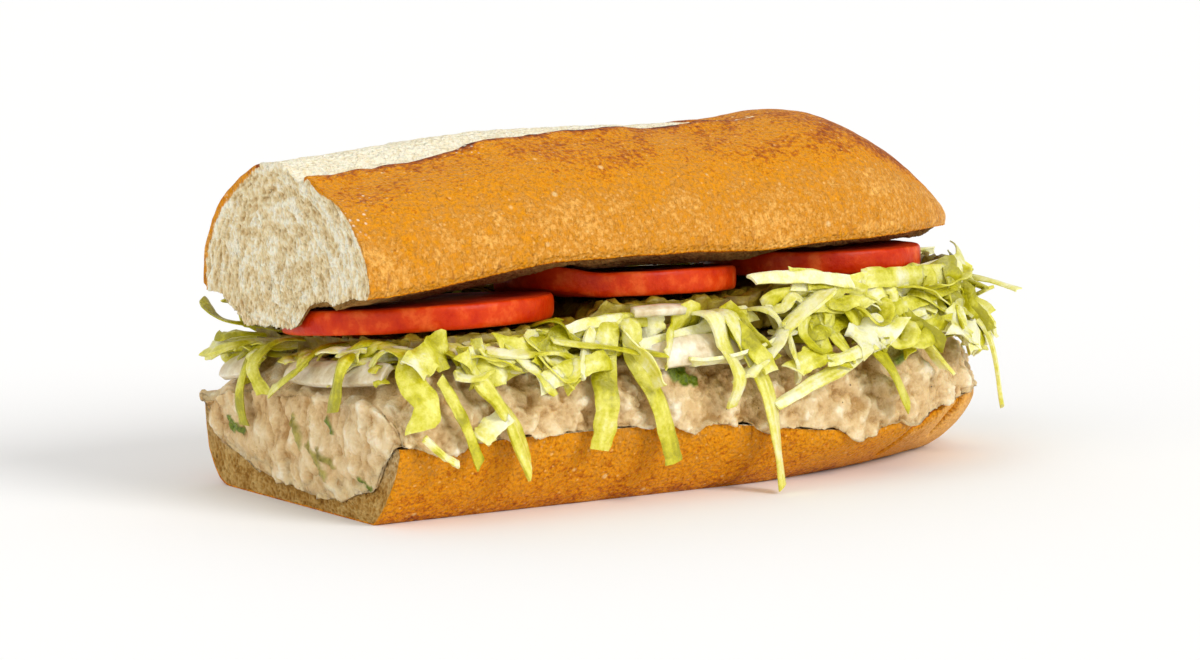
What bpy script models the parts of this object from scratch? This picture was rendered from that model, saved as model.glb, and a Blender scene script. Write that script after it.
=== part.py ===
"""A submarine sandwich: half of a long roll, cut across at one end, with its filling.

X runs along the loaf from the cut end to the round nose, -Y is the near side and Z is up. The
origin is the middle of the flat base of the lower loaf. Sizes are in millimetres, and become
metres where a vertex is placed.
"""
import math
import random

import bmesh
import bpy
from mathutils import Vector, noise

MM = 0.001
GAP = 0.4

# Lower loaf: a boat with a flat base, a rim and a trough for the filling.
CUT_X = -95.0
SHOULDER_X = 20.0
NOSE_X = 87.5
HALF_WIDTH = 43.2
NOSE_ROUNDNESS = 2.35
TIP_HALF_WIDTH = 2.5
STRAIGHT_PART = 0.56
BASE_HALF_WIDTH = 32.0
RIM_HEIGHT = 18.3
RIM_DIP = 6.0
RIM_DIP_X = 32.0
RIM_DIP_LENGTH = 36.0
RIM_THICKNESS = 5.5
FLOOR_HEIGHT = 9.5
NEAR_SIDE_ROUNDNESS = 1.3
FAR_SIDE_ROUNDNESS = 2.1
TROUGH_END_LENGTH = 15.0
TOE_LENGTH = 12.5
TOE_SLOPE = 0.3
CREASE_X = 66.0
CREASE_LENGTH = 3.5
CREASE_DEPTH = 1.6

# The layers slope down to the far side, as the weight of the filling has settled there.
SETTLE = 0.06

# Tuna salad.
TUNA_HEIGHT = 33.6
TUNA_BEYOND_CUT = 2.4
TUNA_END_FALL = 9.0
TUNA_BULGE = 2.0
TUNA_LUMP = 1.3
TUNA_LUMP_SIZE = 11.0

# Tomato slices: centre, half lengths along and across the camera's line, rise along X and Y.
TOMATO_THICKNESS = 5.6
TOMATO_TURN = math.radians(-34.0)
TOMATOES = (
    (-68.6, -8.0, 42.6, 30.8, 28.0, 0.010, -0.089),
    (-15.0, -8.0, 46.2, 28.2, 26.0, -0.017, -0.096),
    (42.0, -8.0, 48.3, 26.0, 25.0, -0.010, -0.052),
)
TOMATO_LIFT_X = -36.0
TOMATO_LIFT = 2.6

# Upper loaf, rolled a little so that its near edge is the higher one.
CROWN_CUT_X = -100.0
CROWN_SHOULDER_X = 12.0
CROWN_NOSE_X = 80.8
CROWN_NOSE_ROUNDNESS = 2.12
CROWN_FALL_X = 30.5
CROWN_HALF_WIDTH = 36.9
CROWN_RISE = 29.5
CROWN_ROLL = math.radians(5.2)
CROWN_CENTRE_Y = -2.5
CROWN_BASE_HEIGHT = 47.6
CROWN_BASE_LIFT = 5.0
CROWN_FAR_LIFT = 1.5
CROWN_SAG = 0.8
CROWN_NOSE_LIFT = 1.1
CROWN_FALL_POWER = 1.91
CROWN_FALL_ROUNDNESS = 0.87
CROWN_SWELL = 2.2
CROWN_SWELL_X = 42.0
CROWN_SWELL_LENGTH = 22.0
CROWN_END_DROP = 0.5
SLASH_NEAR = -9.5
SLASH_STEP = 3.0
SLASH_FAR = 8.5
SLASH_END_X = 34.0
SLASH_DEPTH = 2.2
NEAR_EAR = 1.5
FAR_EAR = 0.5
NEAR_FLAT = 2.6

# Shredded lettuce and onion.
CORE_WIDTH = 0.80
STRAND_THICKNESS = 0.9
SHRED_TRIES = 260

# Onion slices: width, the way each one faces, and the line it lies along.
ONIONS = (
    (6.5, (-0.75, 0.0, 0.66),
     ((-94.9, 4.0, 30.2), (-95.3, -10.0, 31.2), (-94.9, -24.0, 32.8), (-93.1, -35.0, 33.8))),
    (7.0, (0.0, -1.0, 0.45),
     ((-29.0, -42.6, 33.0), (-20.0, -43.2, 34.2), (-10.0, -43.2, 34.0), (-2.5, -42.6, 32.2))),
    (4.2, (0.0, -0.2, 1.0), ((-30.5, -38.4, 43.4), (-23.5, -40.0, 43.7), (-17.0, -38.4, 43.2))),
    (6.0, (-0.75, 0.0, 0.66), ((-94.8, 34.0, 27.0), (-95.4, 27.0, 28.6), (-95.2, 20.0, 29.4))),
)


def clamp(value, low=0.0, high=1.0):
    """Keep a value between two limits."""
    return max(low, min(high, value))


def ramp(value, start, end):
    """Ease from 0 at start to 1 at end."""
    share = clamp((value - start) / (end - start))
    return share * share * (3.0 - 2.0 * share)


def mix(first, second, share):
    """Blend two numbers."""
    return first + (second - first) * share


def hump(value, centre, length):
    """A smooth hump of height 1 round a centre."""
    return math.exp(-((value - centre) / length) ** 2)


def lump(x, y, z, size):
    """Smooth noise between about -1 and 1, with lumps of the given size."""
    return noise.noise(Vector((x, y, z)) / size)


def material(name, colour, roughness):
    """A plain finish for one sub-part."""
    finish = bpy.data.materials.new(name)
    finish.use_nodes = True
    shader = finish.node_tree.nodes["Principled BSDF"]
    shader.inputs["Base Color"].default_value = (*colour, 1.0)
    shader.inputs["Roughness"].default_value = roughness
    shader.inputs["Metallic"].default_value = 0.0
    finish.diffuse_color = (*colour, 1.0)
    return finish


def skin(name, form, along, across, up):
    """A closed body: the six sides of a box, each a grid, whose points form(u, s, t) places."""
    sides = (
        (along, across, lambda p, q: (p, q, 0.0)),
        (along, across, lambda p, q: (p, q, 1.0)),
        (along, up, lambda p, q: (p, 0.0, q)),
        (along, up, lambda p, q: (p, 1.0, q)),
        (across, up, lambda p, q: (0.0, p, q)),
        (across, up, lambda p, q: (1.0, p, q)),
    )
    shape = bmesh.new()
    for columns, rows, corner in sides:
        grid = bmesh.ops.create_grid(shape, x_segments=columns, y_segments=rows, size=0.5)
        faces = {face for vert in grid["verts"] for face in vert.link_faces}
        bmesh.ops.triangulate(shape, faces=list(faces), quad_method="FIXED")
        for vert in grid["verts"]:
            p = round((vert.co.x + 0.5) * columns) / columns
            q = round((vert.co.y + 0.5) * rows) / rows
            vert.co = Vector(form(*corner(p, q))) * MM
    bmesh.ops.remove_doubles(shape, verts=shape.verts, dist=0.02 * MM)
    bmesh.ops.recalc_face_normals(shape, faces=shape.faces)
    if shape.calc_volume(signed=True) < 0.0:
        bmesh.ops.reverse_faces(shape, faces=shape.faces)
    mesh = bpy.data.meshes.new(name)
    shape.to_mesh(mesh)
    shape.free()
    return mesh


def add(name, mesh, finish):
    """Put a mesh in the scene as a named object."""
    mesh.shade_smooth()
    mesh.set_sharp_from_angle(angle=math.radians(45.0))
    if finish is not None:
        mesh.materials.append(finish)
    part = bpy.data.objects.new(name, mesh)
    bpy.context.scene.collection.objects.link(part)
    return part


def hull(u):
    """Station and half width of the lower loaf at u, from the cut end to the nose."""
    if u < STRAIGHT_PART:
        return mix(CUT_X, SHOULDER_X, u / STRAIGHT_PART), HALF_WIDTH
    turn = (u - STRAIGHT_PART) / (1.0 - STRAIGHT_PART) * math.pi / 2.0
    power = 2.0 / NOSE_ROUNDNESS
    x = SHOULDER_X + (NOSE_X - SHOULDER_X) * math.sin(turn) ** power
    return x, max(HALF_WIDTH * max(math.cos(turn), 0.0) ** power, TIP_HALF_WIDTH)


def half_width(x):
    """Half width of the lower loaf's rim at x."""
    reach = clamp((x - SHOULDER_X) / (NOSE_X - SHOULDER_X))
    return HALF_WIDTH * (1.0 - reach ** NOSE_ROUNDNESS) ** (1.0 / NOSE_ROUNDNESS)


def rim_height(x, v):
    """Height of the rim: it dips on the near side where the filling hangs over it."""
    near = ramp(-v, -1.0, 1.0)
    dip = RIM_DIP * hump(x, RIM_DIP_X, RIM_DIP_LENGTH) * near
    return mix(RIM_HEIGHT + 1.2, RIM_HEIGHT, near) - dip - 1.5 * ramp(x, 60.0, NOSE_X)


def trough(x, width, v):
    """A point of the lower loaf's upper side: floor, wall and rim, for v from -1 to 1."""
    reach = abs(v)
    side = math.copysign(1.0, v)
    rim = rim_height(x, v)
    floor = mix(FLOOR_HEIGHT, rim - 1.0, ramp(x, NOSE_X - TROUGH_END_LENGTH, NOSE_X - 3.0))
    floor_width = 0.62 * width
    wall_width = max(width - RIM_THICKNESS, floor_width)
    if reach <= 4.0 / 7.0:
        return side * floor_width * reach * 7.0 / 4.0, floor
    if reach <= 6.0 / 7.0:
        share = (reach - 4.0 / 7.0) * 7.0 / 2.0
        return side * mix(floor_width, wall_width, share), mix(floor, rim - 0.5, ramp(share, -0.2, 1.0))
    share = (reach - 6.0 / 7.0) * 7.0
    return side * mix(wall_width, width, share), mix(rim - 0.5, rim, share)


def base(x, width, v):
    """A point of the lower loaf's outer side: flat base and rounded flank."""
    reach = abs(v)
    side = math.copysign(1.0, v)
    rim = rim_height(x, v) - 1.5
    lift = TOE_SLOPE * max(0.0, x - NOSE_X + TOE_LENGTH)
    contact = BASE_HALF_WIDTH * (1.0 - clamp((x - 5.0) / 90.0) ** 1.5)
    contact = min(contact, 0.9 * width)
    flank = 4.0 / 7.0
    if reach <= flank:
        return side * contact * reach / flank, lift
    turn = (reach - flank) / (1.0 - flank) * math.pi / 2.0
    power = 2.0 / (NEAR_SIDE_ROUNDNESS if v < 0.0 else FAR_SIDE_ROUNDNESS)
    out = math.sin(turn) ** power
    rise = 1.0 - max(math.cos(turn), 0.0) ** power
    return side * mix(contact, width, out), mix(lift, rim, rise)


def bun_bottom_form(u, s, t):
    """Lower loaf, with a rough cut end and a crease on the near side of the nose."""
    x, width = hull(u)
    v = 2.0 * s - 1.0
    low_y, low_z = base(x, width, v)
    high_y, high_z = trough(x, width, v)
    y = mix(low_y, high_y, t)
    z = mix(low_z, high_z, t)
    if v < -0.7 and t < 1.0:
        crease = CREASE_DEPTH * hump(x, CREASE_X, CREASE_LENGTH) * ramp(-v, 0.7, 0.9)
        y = y + crease
        x = x - 0.5 * crease
    if u == 0.0 and 0.0 < t < 1.0:
        x = x + 0.35 + 0.35 * lump(1.0, y, z, 5.0)
    return x, y, z


def tuna_top(x, y):
    """Height of the tuna salad: lumpy, lower at the cut end and towards the far side."""
    end_fall = TUNA_END_FALL * (1.0 - ramp(x, -99.0, -85.0))
    nose_fall = 3.0 * ramp(x, 62.0, NOSE_X)
    lumps = TUNA_LUMP * lump(x, y, 7.0, TUNA_LUMP_SIZE)
    return TUNA_HEIGHT - SETTLE * y - end_fall - nose_fall + lumps


def smear_height(y):
    """How far down the cut face the tuna salad is smeared."""
    return 6.0 + 5.0 * ramp(abs(y + 8.0), 10.0, 36.0) + 2.5 * lump(0.0, y, 3.0, 14.0)


LOAF_STEPS = 34
LOAF_ACROSS = 14
TUNA_STEPS = LOAF_STEPS + 1


def tuna_form(u, s, t):
    """Tuna salad: fills the trough, bulges over the rim and is smeared down the cut face."""
    step = round(u * TUNA_STEPS)
    v = 2.0 * s - 1.0
    side = math.copysign(1.0, v)
    x, width = hull(max(step - 2, 0) / LOAF_STEPS)
    low_y, low_z = trough(x, width, v)
    if abs(v) > 0.99:
        low_y = side * (width + 1.3)
    low_z = low_z + 0.7
    if step <= 2:
        x = CUT_X - GAP
    if step <= 1:
        low_z = mix(low_z, min(low_z, smear_height(low_y)), 1.0 - ramp(abs(v), 0.65, 0.99))
    if step == 0:
        x = CUT_X - TUNA_BEYOND_CUT
    high_y = v * max(width - 4.5, 0.4 * width)
    high_z = tuna_top(x, high_y) - 4.0 * abs(v) ** 8
    bow = math.sin(math.pi * t) * abs(v) ** 6
    y = mix(low_y, high_y, t) + side * TUNA_BULGE * bow
    z = mix(low_z, high_z, t)
    y = y + side * 1.1 * bow * lump(x, side * 40.0, z, 8.0)
    if step == 0:
        x = x + 0.9 * math.sin(math.pi * t) * (lump(4.0, y, z, 9.0) - 0.6)
    x = x - 4.0 * t * ramp(x, 60.0, NOSE_X)
    return x, y, z


def tomato_height(number, x, y):
    """Height of the middle of a tomato slice; the second one is lifted by the first."""
    centre_x, centre_y, centre_z, _, _, rise_x, rise_y = TOMATOES[number]
    height = centre_z + rise_x * (x - centre_x) + rise_y * (y - centre_y)
    if number == 1:
        height = height + TOMATO_LIFT * ramp(-x, -TOMATO_LIFT_X - 6.0, -TOMATO_LIFT_X + 7.0)
    return height


def tomato_reach(number, x, y):
    """How far out of a slice's middle a point lies, 1 being the slice's edge."""
    centre_x, centre_y, _, long_half, short_half, _, _ = TOMATOES[number]
    east, north = x - centre_x, y - centre_y
    along = east * math.cos(TOMATO_TURN) + north * math.sin(TOMATO_TURN)
    aside = north * math.cos(TOMATO_TURN) - east * math.sin(TOMATO_TURN)
    return math.hypot(along / long_half, aside / short_half)


def beyond_tomato(number, x, y, margin):
    """How many millimetres a point lies outside a slice's edge and its margin."""
    short_half = TOMATOES[number][4]
    return max(0.0, (tomato_reach(number, x, y) - 1.0) * short_half - margin)


def tomato_slice(number):
    """A thick round slice: a turned profile, made oval and laid on its slope."""
    half = TOMATO_THICKNESS / 2.0
    profile = [(0.0, -half), (0.5, -half), (0.93, -half), (0.985, -0.62 * half), (1.0, 0.0)]
    profile = profile + [(0.985, 0.62 * half), (0.93, half), (0.5, half), (0.0, half)]
    centre_x, centre_y, _, long_half, short_half, _, _ = TOMATOES[number]
    shape = bmesh.new()
    verts = [shape.verts.new((out, 0.0, height)) for out, height in profile]
    edges = [shape.edges.new(pair) for pair in zip(verts, verts[1:])]
    bmesh.ops.spin(shape, geom=verts + edges, angle=2.0 * math.pi, steps=24, use_merge=True,
                   axis=(0, 0, 1), cent=(0, 0, 0))
    bmesh.ops.remove_doubles(shape, verts=shape.verts, dist=1e-5)
    for vert in shape.verts:
        around = math.atan2(vert.co.y, vert.co.x)
        out = math.hypot(vert.co.x, vert.co.y) * (1.0 + 0.012 * math.sin(3.0 * around + number))
        along = out * long_half * math.cos(around)
        aside = out * short_half * math.sin(around)
        x = centre_x + along * math.cos(TOMATO_TURN) - aside * math.sin(TOMATO_TURN)
        y = centre_y + along * math.sin(TOMATO_TURN) + aside * math.cos(TOMATO_TURN)
        vert.co = Vector((x, y, tomato_height(number, x, y) + vert.co.z)) * MM
    bmesh.ops.recalc_face_normals(shape, faces=shape.faces)
    mesh = bpy.data.meshes.new(f"tomato_{number + 1}")
    shape.to_mesh(mesh)
    shape.free()
    return mesh


def crown_hull(u):
    """Station and half width of the upper loaf at u, from the cut end to the nose."""
    if u < STRAIGHT_PART:
        return mix(CROWN_CUT_X, CROWN_SHOULDER_X, u / STRAIGHT_PART), CROWN_HALF_WIDTH
    turn = (u - STRAIGHT_PART) / (1.0 - STRAIGHT_PART) * math.pi / 2.0
    power = 2.0 / CROWN_NOSE_ROUNDNESS
    x = CROWN_SHOULDER_X + (CROWN_NOSE_X - CROWN_SHOULDER_X) * math.sin(turn) ** power
    return x, max(CROWN_HALF_WIDTH * max(math.cos(turn), 0.0) ** power, TIP_HALF_WIDTH)


def crown_rise(x):
    """Height of the upper loaf above its lower edge at x."""
    reach = clamp((x - CROWN_FALL_X) / (CROWN_NOSE_X - CROWN_FALL_X))
    nose = (1.0 - reach ** CROWN_FALL_POWER) ** CROWN_FALL_ROUNDNESS
    swell = CROWN_SWELL * hump(x, CROWN_SWELL_X, CROWN_SWELL_LENGTH)
    swell = swell - CROWN_END_DROP * (1.0 - ramp(x, CROWN_CUT_X, -78.0))
    return (CROWN_RISE + swell) * nose


def crown_to_world(x, aside, above):
    """Turn a point of the upper loaf's own section into the sandwich's frame."""
    lift = CROWN_BASE_LIFT * ramp(x, CROWN_CUT_X, -45.0) - CROWN_SAG * hump(x, 6.0, 14.0)
    lift = lift + CROWN_FAR_LIFT * (1.0 - ramp(-aside, -10.0, 35.0)) * (1.0 - ramp(x, CROWN_CUT_X, -55.0))
    lift = lift + CROWN_NOSE_LIFT * ramp(x, 30.0, 75.0)
    y = CROWN_CENTRE_Y + aside * math.cos(CROWN_ROLL) + above * math.sin(CROWN_ROLL)
    z = CROWN_BASE_HEIGHT + lift - aside * math.sin(CROWN_ROLL) + above * math.cos(CROWN_ROLL)
    return x, y, z


def slash_relief(x, aside):
    """Height added to the dome round the slash: sunken crumb between two torn crust edges."""
    open_here = 1.0 - ramp(x, SLASH_END_X - 26.0, SLASH_END_X)
    near_edge = SLASH_NEAR - SLASH_STEP * (1.0 - ramp(x, -26.0, -14.0)) + 1.5 * lump(x, 0.0, 0.0, 24.0)
    ear = NEAR_EAR * (0.6 + lump(x, 5.0, 0.0, 17.0)) * hump(aside, near_edge - 1.0, 3.0)
    far_ear = FAR_EAR * hump(aside, SLASH_FAR + 1.0, 3.0)
    hollow = SLASH_DEPTH * ramp(aside, near_edge, near_edge + 3.0)
    hollow = hollow * (1.0 - ramp(aside, near_edge + 4.0, near_edge + 12.0))
    near_flat = NEAR_FLAT * hump(aside, -16.0, 9.0)
    return open_here * (ear + far_ear - hollow) - near_flat * (1.0 - ramp(x, -85.0, -40.0))


def torn_droop(aside):
    """How far the torn crumb hangs below the upper loaf's edge at the cut end."""
    body = 6.4 * ramp(aside, -14.0, -3.0) * (1.0 - ramp(aside, 15.0, 30.0))
    return body + 1.6 * ramp(aside, -32.0, -20.0) * (1.0 - ramp(aside, 24.0, 34.0))


def under_crown(x, y, lip_z, aside, width):
    """Height of the upper loaf's crumb underside: it sags onto the tomato and clears its edge."""
    inward = (1.0 - ramp(abs(aside) / max(width, 1.0), 0.35, 0.92)) * ramp(width, 6.0, 24.0)
    rest_z = lip_z - 4.6 * inward
    for number in range(len(TOMATOES)):
        top = tomato_height(number, x, y) + TOMATO_THICKNESS / 2.0 + 0.8
        rest_z = max(rest_z, top - 0.9 * beyond_tomato(number, x, y, 5.0))
    return rest_z


CROWN_STEPS = 36
CROWN_ACROSS = 16


def bun_top_form(u, s, t):
    """Upper loaf: dome, slash, torn cut end and crumb underside."""
    step = round(u * CROWN_STEPS)
    x, width = crown_hull(max(step - 2, 0) / (CROWN_STEPS - 2))
    half_turn = math.pi * s
    aside = -width * math.cos(half_turn)
    edge = math.copysign(abs(math.cos(half_turn)) ** 1.05, -math.cos(half_turn))
    high_aside = width * edge
    above = crown_rise(x) * max(math.sin(half_turn), 0.0) ** 0.98
    above = above + slash_relief(x, high_aside) * math.sin(half_turn)
    low_aside = 0.97 * aside
    _, low_y, lip_z = crown_to_world(x, low_aside, 0.0)
    low_z = under_crown(x, low_y, lip_z, low_aside, width)
    if step <= 1:
        low_z = lip_z - torn_droop(low_aside) + 0.8 * lump(0.0, low_aside, 0.0, 4.0) * math.sin(half_turn)
    edge_height = 1.6 * (1.0 - math.sin(half_turn) * ramp(width, 0.0, 8.0))
    _, high_y, high_z = crown_to_world(x, high_aside, above + edge_height)
    y = mix(low_y, high_y, t)
    z = mix(low_z, high_z, t)
    if step in (1, 2):
        x = CROWN_CUT_X + 1.3 + 3.5 * ramp(low_aside, 12.0, 20.0) * (1.0 - t)
    if step == 0 and 0.0 < t < 1.0:
        x = x + 0.6 + 0.6 * lump(9.0, y, z, 5.0)
    return x, y, z


def outline(q):
    """The rim's near, nose and far sides as q goes from 0 to 1, with the outward direction."""
    def spot(place):
        u = 2.0 * place if place < 0.5 else 2.0 - 2.0 * place
        x, width = hull(clamp(u))
        return Vector((x, -width if place < 0.5 else width, 0.0))
    ahead = spot(clamp(q + 0.01)) - spot(clamp(q - 0.01))
    return spot(q), Vector((ahead.y, -ahead.x, 0.0)).normalized()


def clearance(z):
    """How far outside the rim's outline a strand hangs at height z."""
    return mix(4.2, -4.5, ramp(z, 27.0, 38.0))


def near_side(x, z, extra=0.0):
    """A point on the sandwich's near side where a strand can hang."""
    out = half_width(min(x, NOSE_X - 1.0)) + clearance(z) + extra * ramp(z, 22.0, 33.0)
    return Vector((x, -out, z))


def spline(points, u):
    """A smooth curve through the given points."""
    spans = len(points) - 1
    place = min(u * spans, spans - 1e-6)
    first = int(place)
    share = place - first
    before = points[max(first - 1, 0)]
    start = points[first]
    end = points[first + 1]
    after = points[min(first + 2, spans)]
    bend = (2.0 * before - 5.0 * start + 4.0 * end - after) * share
    cube = (3.0 * start - before - 3.0 * end + after) * share ** 2
    return 0.5 * (2.0 * start + share * (end - before + bend + cube))


def ribbon_form(points, width, thickness, facing, twist=0.0, wave=0.4):
    """The form of a thin wavy strip along a curve, facing outwards and turned as it goes."""
    def form(u, s, t):
        centre = spline(points, u)
        ahead = (spline(points, min(u + 0.02, 1.0)) - spline(points, max(u - 0.02, 0.0))).normalized()
        flat = (facing - ahead * facing.dot(ahead)).normalized()
        side = ahead.cross(flat)
        turn = twist * u
        across = side * math.cos(turn) + flat * math.sin(turn)
        normal = flat * math.cos(turn) - side * math.sin(turn)
        taper = 0.45 + 0.55 * math.sin(math.pi * clamp(0.08 + 0.84 * u)) ** 0.6
        ripple = wave * math.sin(9.0 * u + 4.0 * s)
        return centre + across * (s - 0.5) * width * taper + normal * ((t - 0.5) * thickness + ripple)
    return form


def core_top(x, y):
    """Top of the lettuce core: just under the tomato slices, uneven between them."""
    height = 45.0 - SETTLE * y + 1.6 * lump(x, y, 30.0, 9.0)
    for number in range(len(TOMATOES)):
        bottom = tomato_height(number, x, y) - TOMATO_THICKNESS / 2.0 - 1.0
        height = min(height, bottom + 0.9 * beyond_tomato(number, x, y, 6.0))
    return height


def core_form(u, s, t):
    """The packed middle of the lettuce, between the tuna salad and the tomato."""
    x, width = hull(0.04 + 0.9 * u)
    v = 2.0 * s - 1.0
    y = v * CORE_WIDTH * width * (1.0 + 0.05 * lump(x, v, 0.0, 8.0))
    low = tuna_top(x, y) + 1.4
    high = max(core_top(x, y), low + 1.0)
    return x, y, mix(low, high, t)


def hero_strands():
    """The long strands that hang over the sides, as they lie in the finished sandwich."""
    down_near = Vector((0.0, -1.0, 1.3))
    near = (
        (5.0, 0.9, 2.2, ((-6.0, 42.0), (-1.0, 34.0), (1.8, 26.3), (4.1, 14.6), (5.7, 1.6))),
        (5.0, 0.3, 0.2, ((-39.0, 41.0), (-42.0, 31.5), (-44.3, 23.2), (-45.0, 15.5))),
        (4.6, 0.4, 0.2, ((-32.5, 41.6), (-32.2, 33.0), (-29.4, 24.2), (-26.6, 14.9), (-25.2, 9.6))),
        (5.4, 0.6, 0.2, ((-77.0, 38.5), (-73.3, 31.0), (-68.8, 23.0), (-63.6, 11.9))),
        (2.6, 0.4, 0.2, ((-84.5, 33.0), (-82.0, 25.5), (-79.5, 20.5), (-76.7, 13.9))),
        (4.6, 0.1, 2.2, ((22.5, 43.0), (16.0, 38.5), (11.0, 34.5), (5.5, 30.5))),
        (5.5, 0.3, 4.8, ((-14.0, 42.5), (-9.5, 35.0), (-9.0, 28.0), (-10.0, 21.5))),
        (7.0, 0.3, 0.0, ((6.5, 42.0), (10.0, 38.0), (11.0, 32.5), (10.0, 27.0))),
        (8.5, 0.5, 0.2, ((30.0, 41.0), (33.5, 34.0), (36.5, 27.0), (42.0, 19.0))),
        (3.6, 0.3, 0.2, ((36.0, 42.5), (43.0, 38.5), (50.5, 32.0), (57.0, 24.0))),
        (5.0, 0.2, 2.6, ((-70.0, 38.2), (-60.0, 37.2), (-52.0, 36.4), (-47.0, 33.4))),
        (4.6, 0.4, 0.0, ((-54.0, 41.0), (-54.5, 38.0), (-52.5, 34.0), (-51.5, 29.0))),
        (6.5, -0.6, 0.2, ((53.0, 42.0), (59.0, 38.0), (64.0, 33.5), (69.0, 28.0))),
        (5.0, 0.3, 0.2, ((-89.0, 37.6), (-91.5, 34.0), (-90.5, 28.0), (-92.5, 22.5))),
    )
    for width, twist, extra, places in near:
        root = Vector((places[0][0], -0.62 * half_width(places[0][0]), 39.5))
        points = [root] + [near_side(x, z, extra) for x, z in places]
        yield points, width, down_near, twist
    up = Vector((0.0, 0.0, 1.0))
    loose = (
        (6.0, up, 0.5, ((52.0, -12.0, 38.0), (64.0, -20.0, 42.5), (74.0, -24.0, 42.5), (83.0, -25.0, 39.8))),
        (4.0, up, 0.4, ((56.0, -14.0, 37.5), (68.0, -27.0, 38.0), (76.0, -34.0, 30.0), (80.0, -35.0, 12.5))),
        (3.6, up, 0.6, ((58.0, 0.0, 37.0), (74.0, -4.0, 39.0), (86.0, -8.0, 33.0), (90.5, -10.0, 22.0))),
        (6.0, up, 0.5, ((54.0, 12.0, 36.6), (68.0, 16.0, 40.0), (79.0, 17.0, 36.0), (86.5, 15.0, 28.0))),
        (4.5, up, 0.5, ((-82.0, 22.0, 35.5), (-91.0, 27.0, 38.0), (-97.5, 31.0, 39.6), (-99.0, 37.0, 43.5))),
        (4.5, up, 0.6, ((-80.0, 21.0, 34.5), (-92.0, 24.0, 35.0), (-99.6, 25.0, 34.0), (-100.6, 33.0, 32.0))),
        (4.2, Vector((-1.0, 0.0, 1.3)), 0.5,
         ((-82.0, 12.0, 35.4), (-93.0, 13.0, 36.0), (-100.2, 12.0, 31.0), (-100.6, 6.0, 25.0))),
        (4.0, Vector((-1.0, 0.0, 1.3)), 0.9,
         ((-82.0, -6.0, 36.2), (-93.0, -8.0, 37.0), (-100.6, -7.0, 31.5), (-100.4, 4.0, 26.0))),
        (3.8, Vector((-1.0, 0.0, 1.3)), 0.3,
         ((-85.0, 18.0, 34.5), (-94.0, 20.0, 33.5), (-99.6, 19.5, 24.5), (-99.8, 17.0, 16.5))),
        (5.0, Vector((-1.0, 0.0, 1.3)), 0.4,
         ((-80.0, -16.0, 37.0), (-91.0, -20.0, 37.4), (-99.8, -26.0, 34.5), (-100.9, -24.0, 24.5))),
    )
    for width, facing, twist, places in loose:
        yield [Vector(place) for place in places], width, facing, twist


def clear_of_neighbours(points, width):
    """Whether a strand's whole length stays out of the tomato, the tuna salad and the loaf."""
    for index in range(13):
        point = spline(points, index / 12.0)
        reach = 0.5 * width + 0.4
        for number in range(len(TOMATOES)):
            outside = beyond_tomato(number, point.x, point.y, reach)
            apart = abs(point.z - tomato_height(number, point.x, point.y))
            if outside == 0.0 and apart < TOMATO_THICKNESS / 2.0 + 1.3:
                return False
        lip = 53.5 - 0.09 * (point.y + 40.0)
        if point.z > lip - 2.0 and abs(point.y + 2.5) < CROWN_HALF_WIDTH + 3.0:
            return False
        if point.z < 1.2 + reach:
            return False
        for onion_width, _, places in ONIONS:
            line = [Vector(place) for place in places]
            for step in range(7):
                if (spline(line, step / 6.0) - point).length < 0.5 * onion_width + reach:
                    return False
    return True


def random_shreds(draw):
    """Short shreds that stick out and curl all round the lettuce's edge, clear of the others."""
    taken = [spline(strand[0], step / 14.0) for strand in hero_strands() for step in range(15)]
    for _ in range(SHRED_TRIES):
        q = draw.uniform(0.01, 0.99)
        spot, out = outline(q)
        along = Vector((-out.y, out.x, 0.0))
        drift = draw.uniform(-11.0, 11.0)
        high = draw.uniform(37.5, 41.5) - 0.06 * spot.y
        low = high - draw.uniform(1.0, 13.0)
        root = spot * 0.70
        root.z = 38.5 - 0.07 * root.y
        points = [root]
        for share, height in ((0.35, high), (0.7, mix(high, low, 0.4)), (1.0, low)):
            point = spot + along * drift * share + out * (clearance(height) + 0.8 + 1.5 * share)
            point.z = height
            points.append(point)
        width = draw.uniform(2.6, 6.0)
        twist = draw.uniform(-1.0, 1.0)
        line = [spline(points, 0.1 + 0.9 * step / 10.0) for step in range(11)]
        crosses = any((a - b).length < 4.6 for a in line for b in taken)
        if not crosses and clear_of_neighbours(points, width):
            taken.extend(line)
            yield points, width, out + Vector((0.0, 0.0, 1.3)), twist


def biggest_piece(mesh):
    """Keep the largest closed shell of a mesh: loose scraps and sealed hollows go."""
    shape = bmesh.new()
    shape.from_mesh(mesh)
    left = set(shape.faces)
    shells = []
    while left:
        shell = {left.pop()}
        border = list(shell)
        while border:
            for edge in border.pop().edges:
                for face in edge.link_faces:
                    if face in left:
                        left.discard(face)
                        shell.add(face)
                        border.append(face)
        shells.append(shell)
    keep = max(shells, key=len)
    bmesh.ops.delete(shape, geom=[face for face in shape.faces if face not in keep], context="FACES")
    bmesh.ops.triangulate(shape, faces=shape.faces)
    shape.to_mesh(mesh)
    shape.free()


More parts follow.
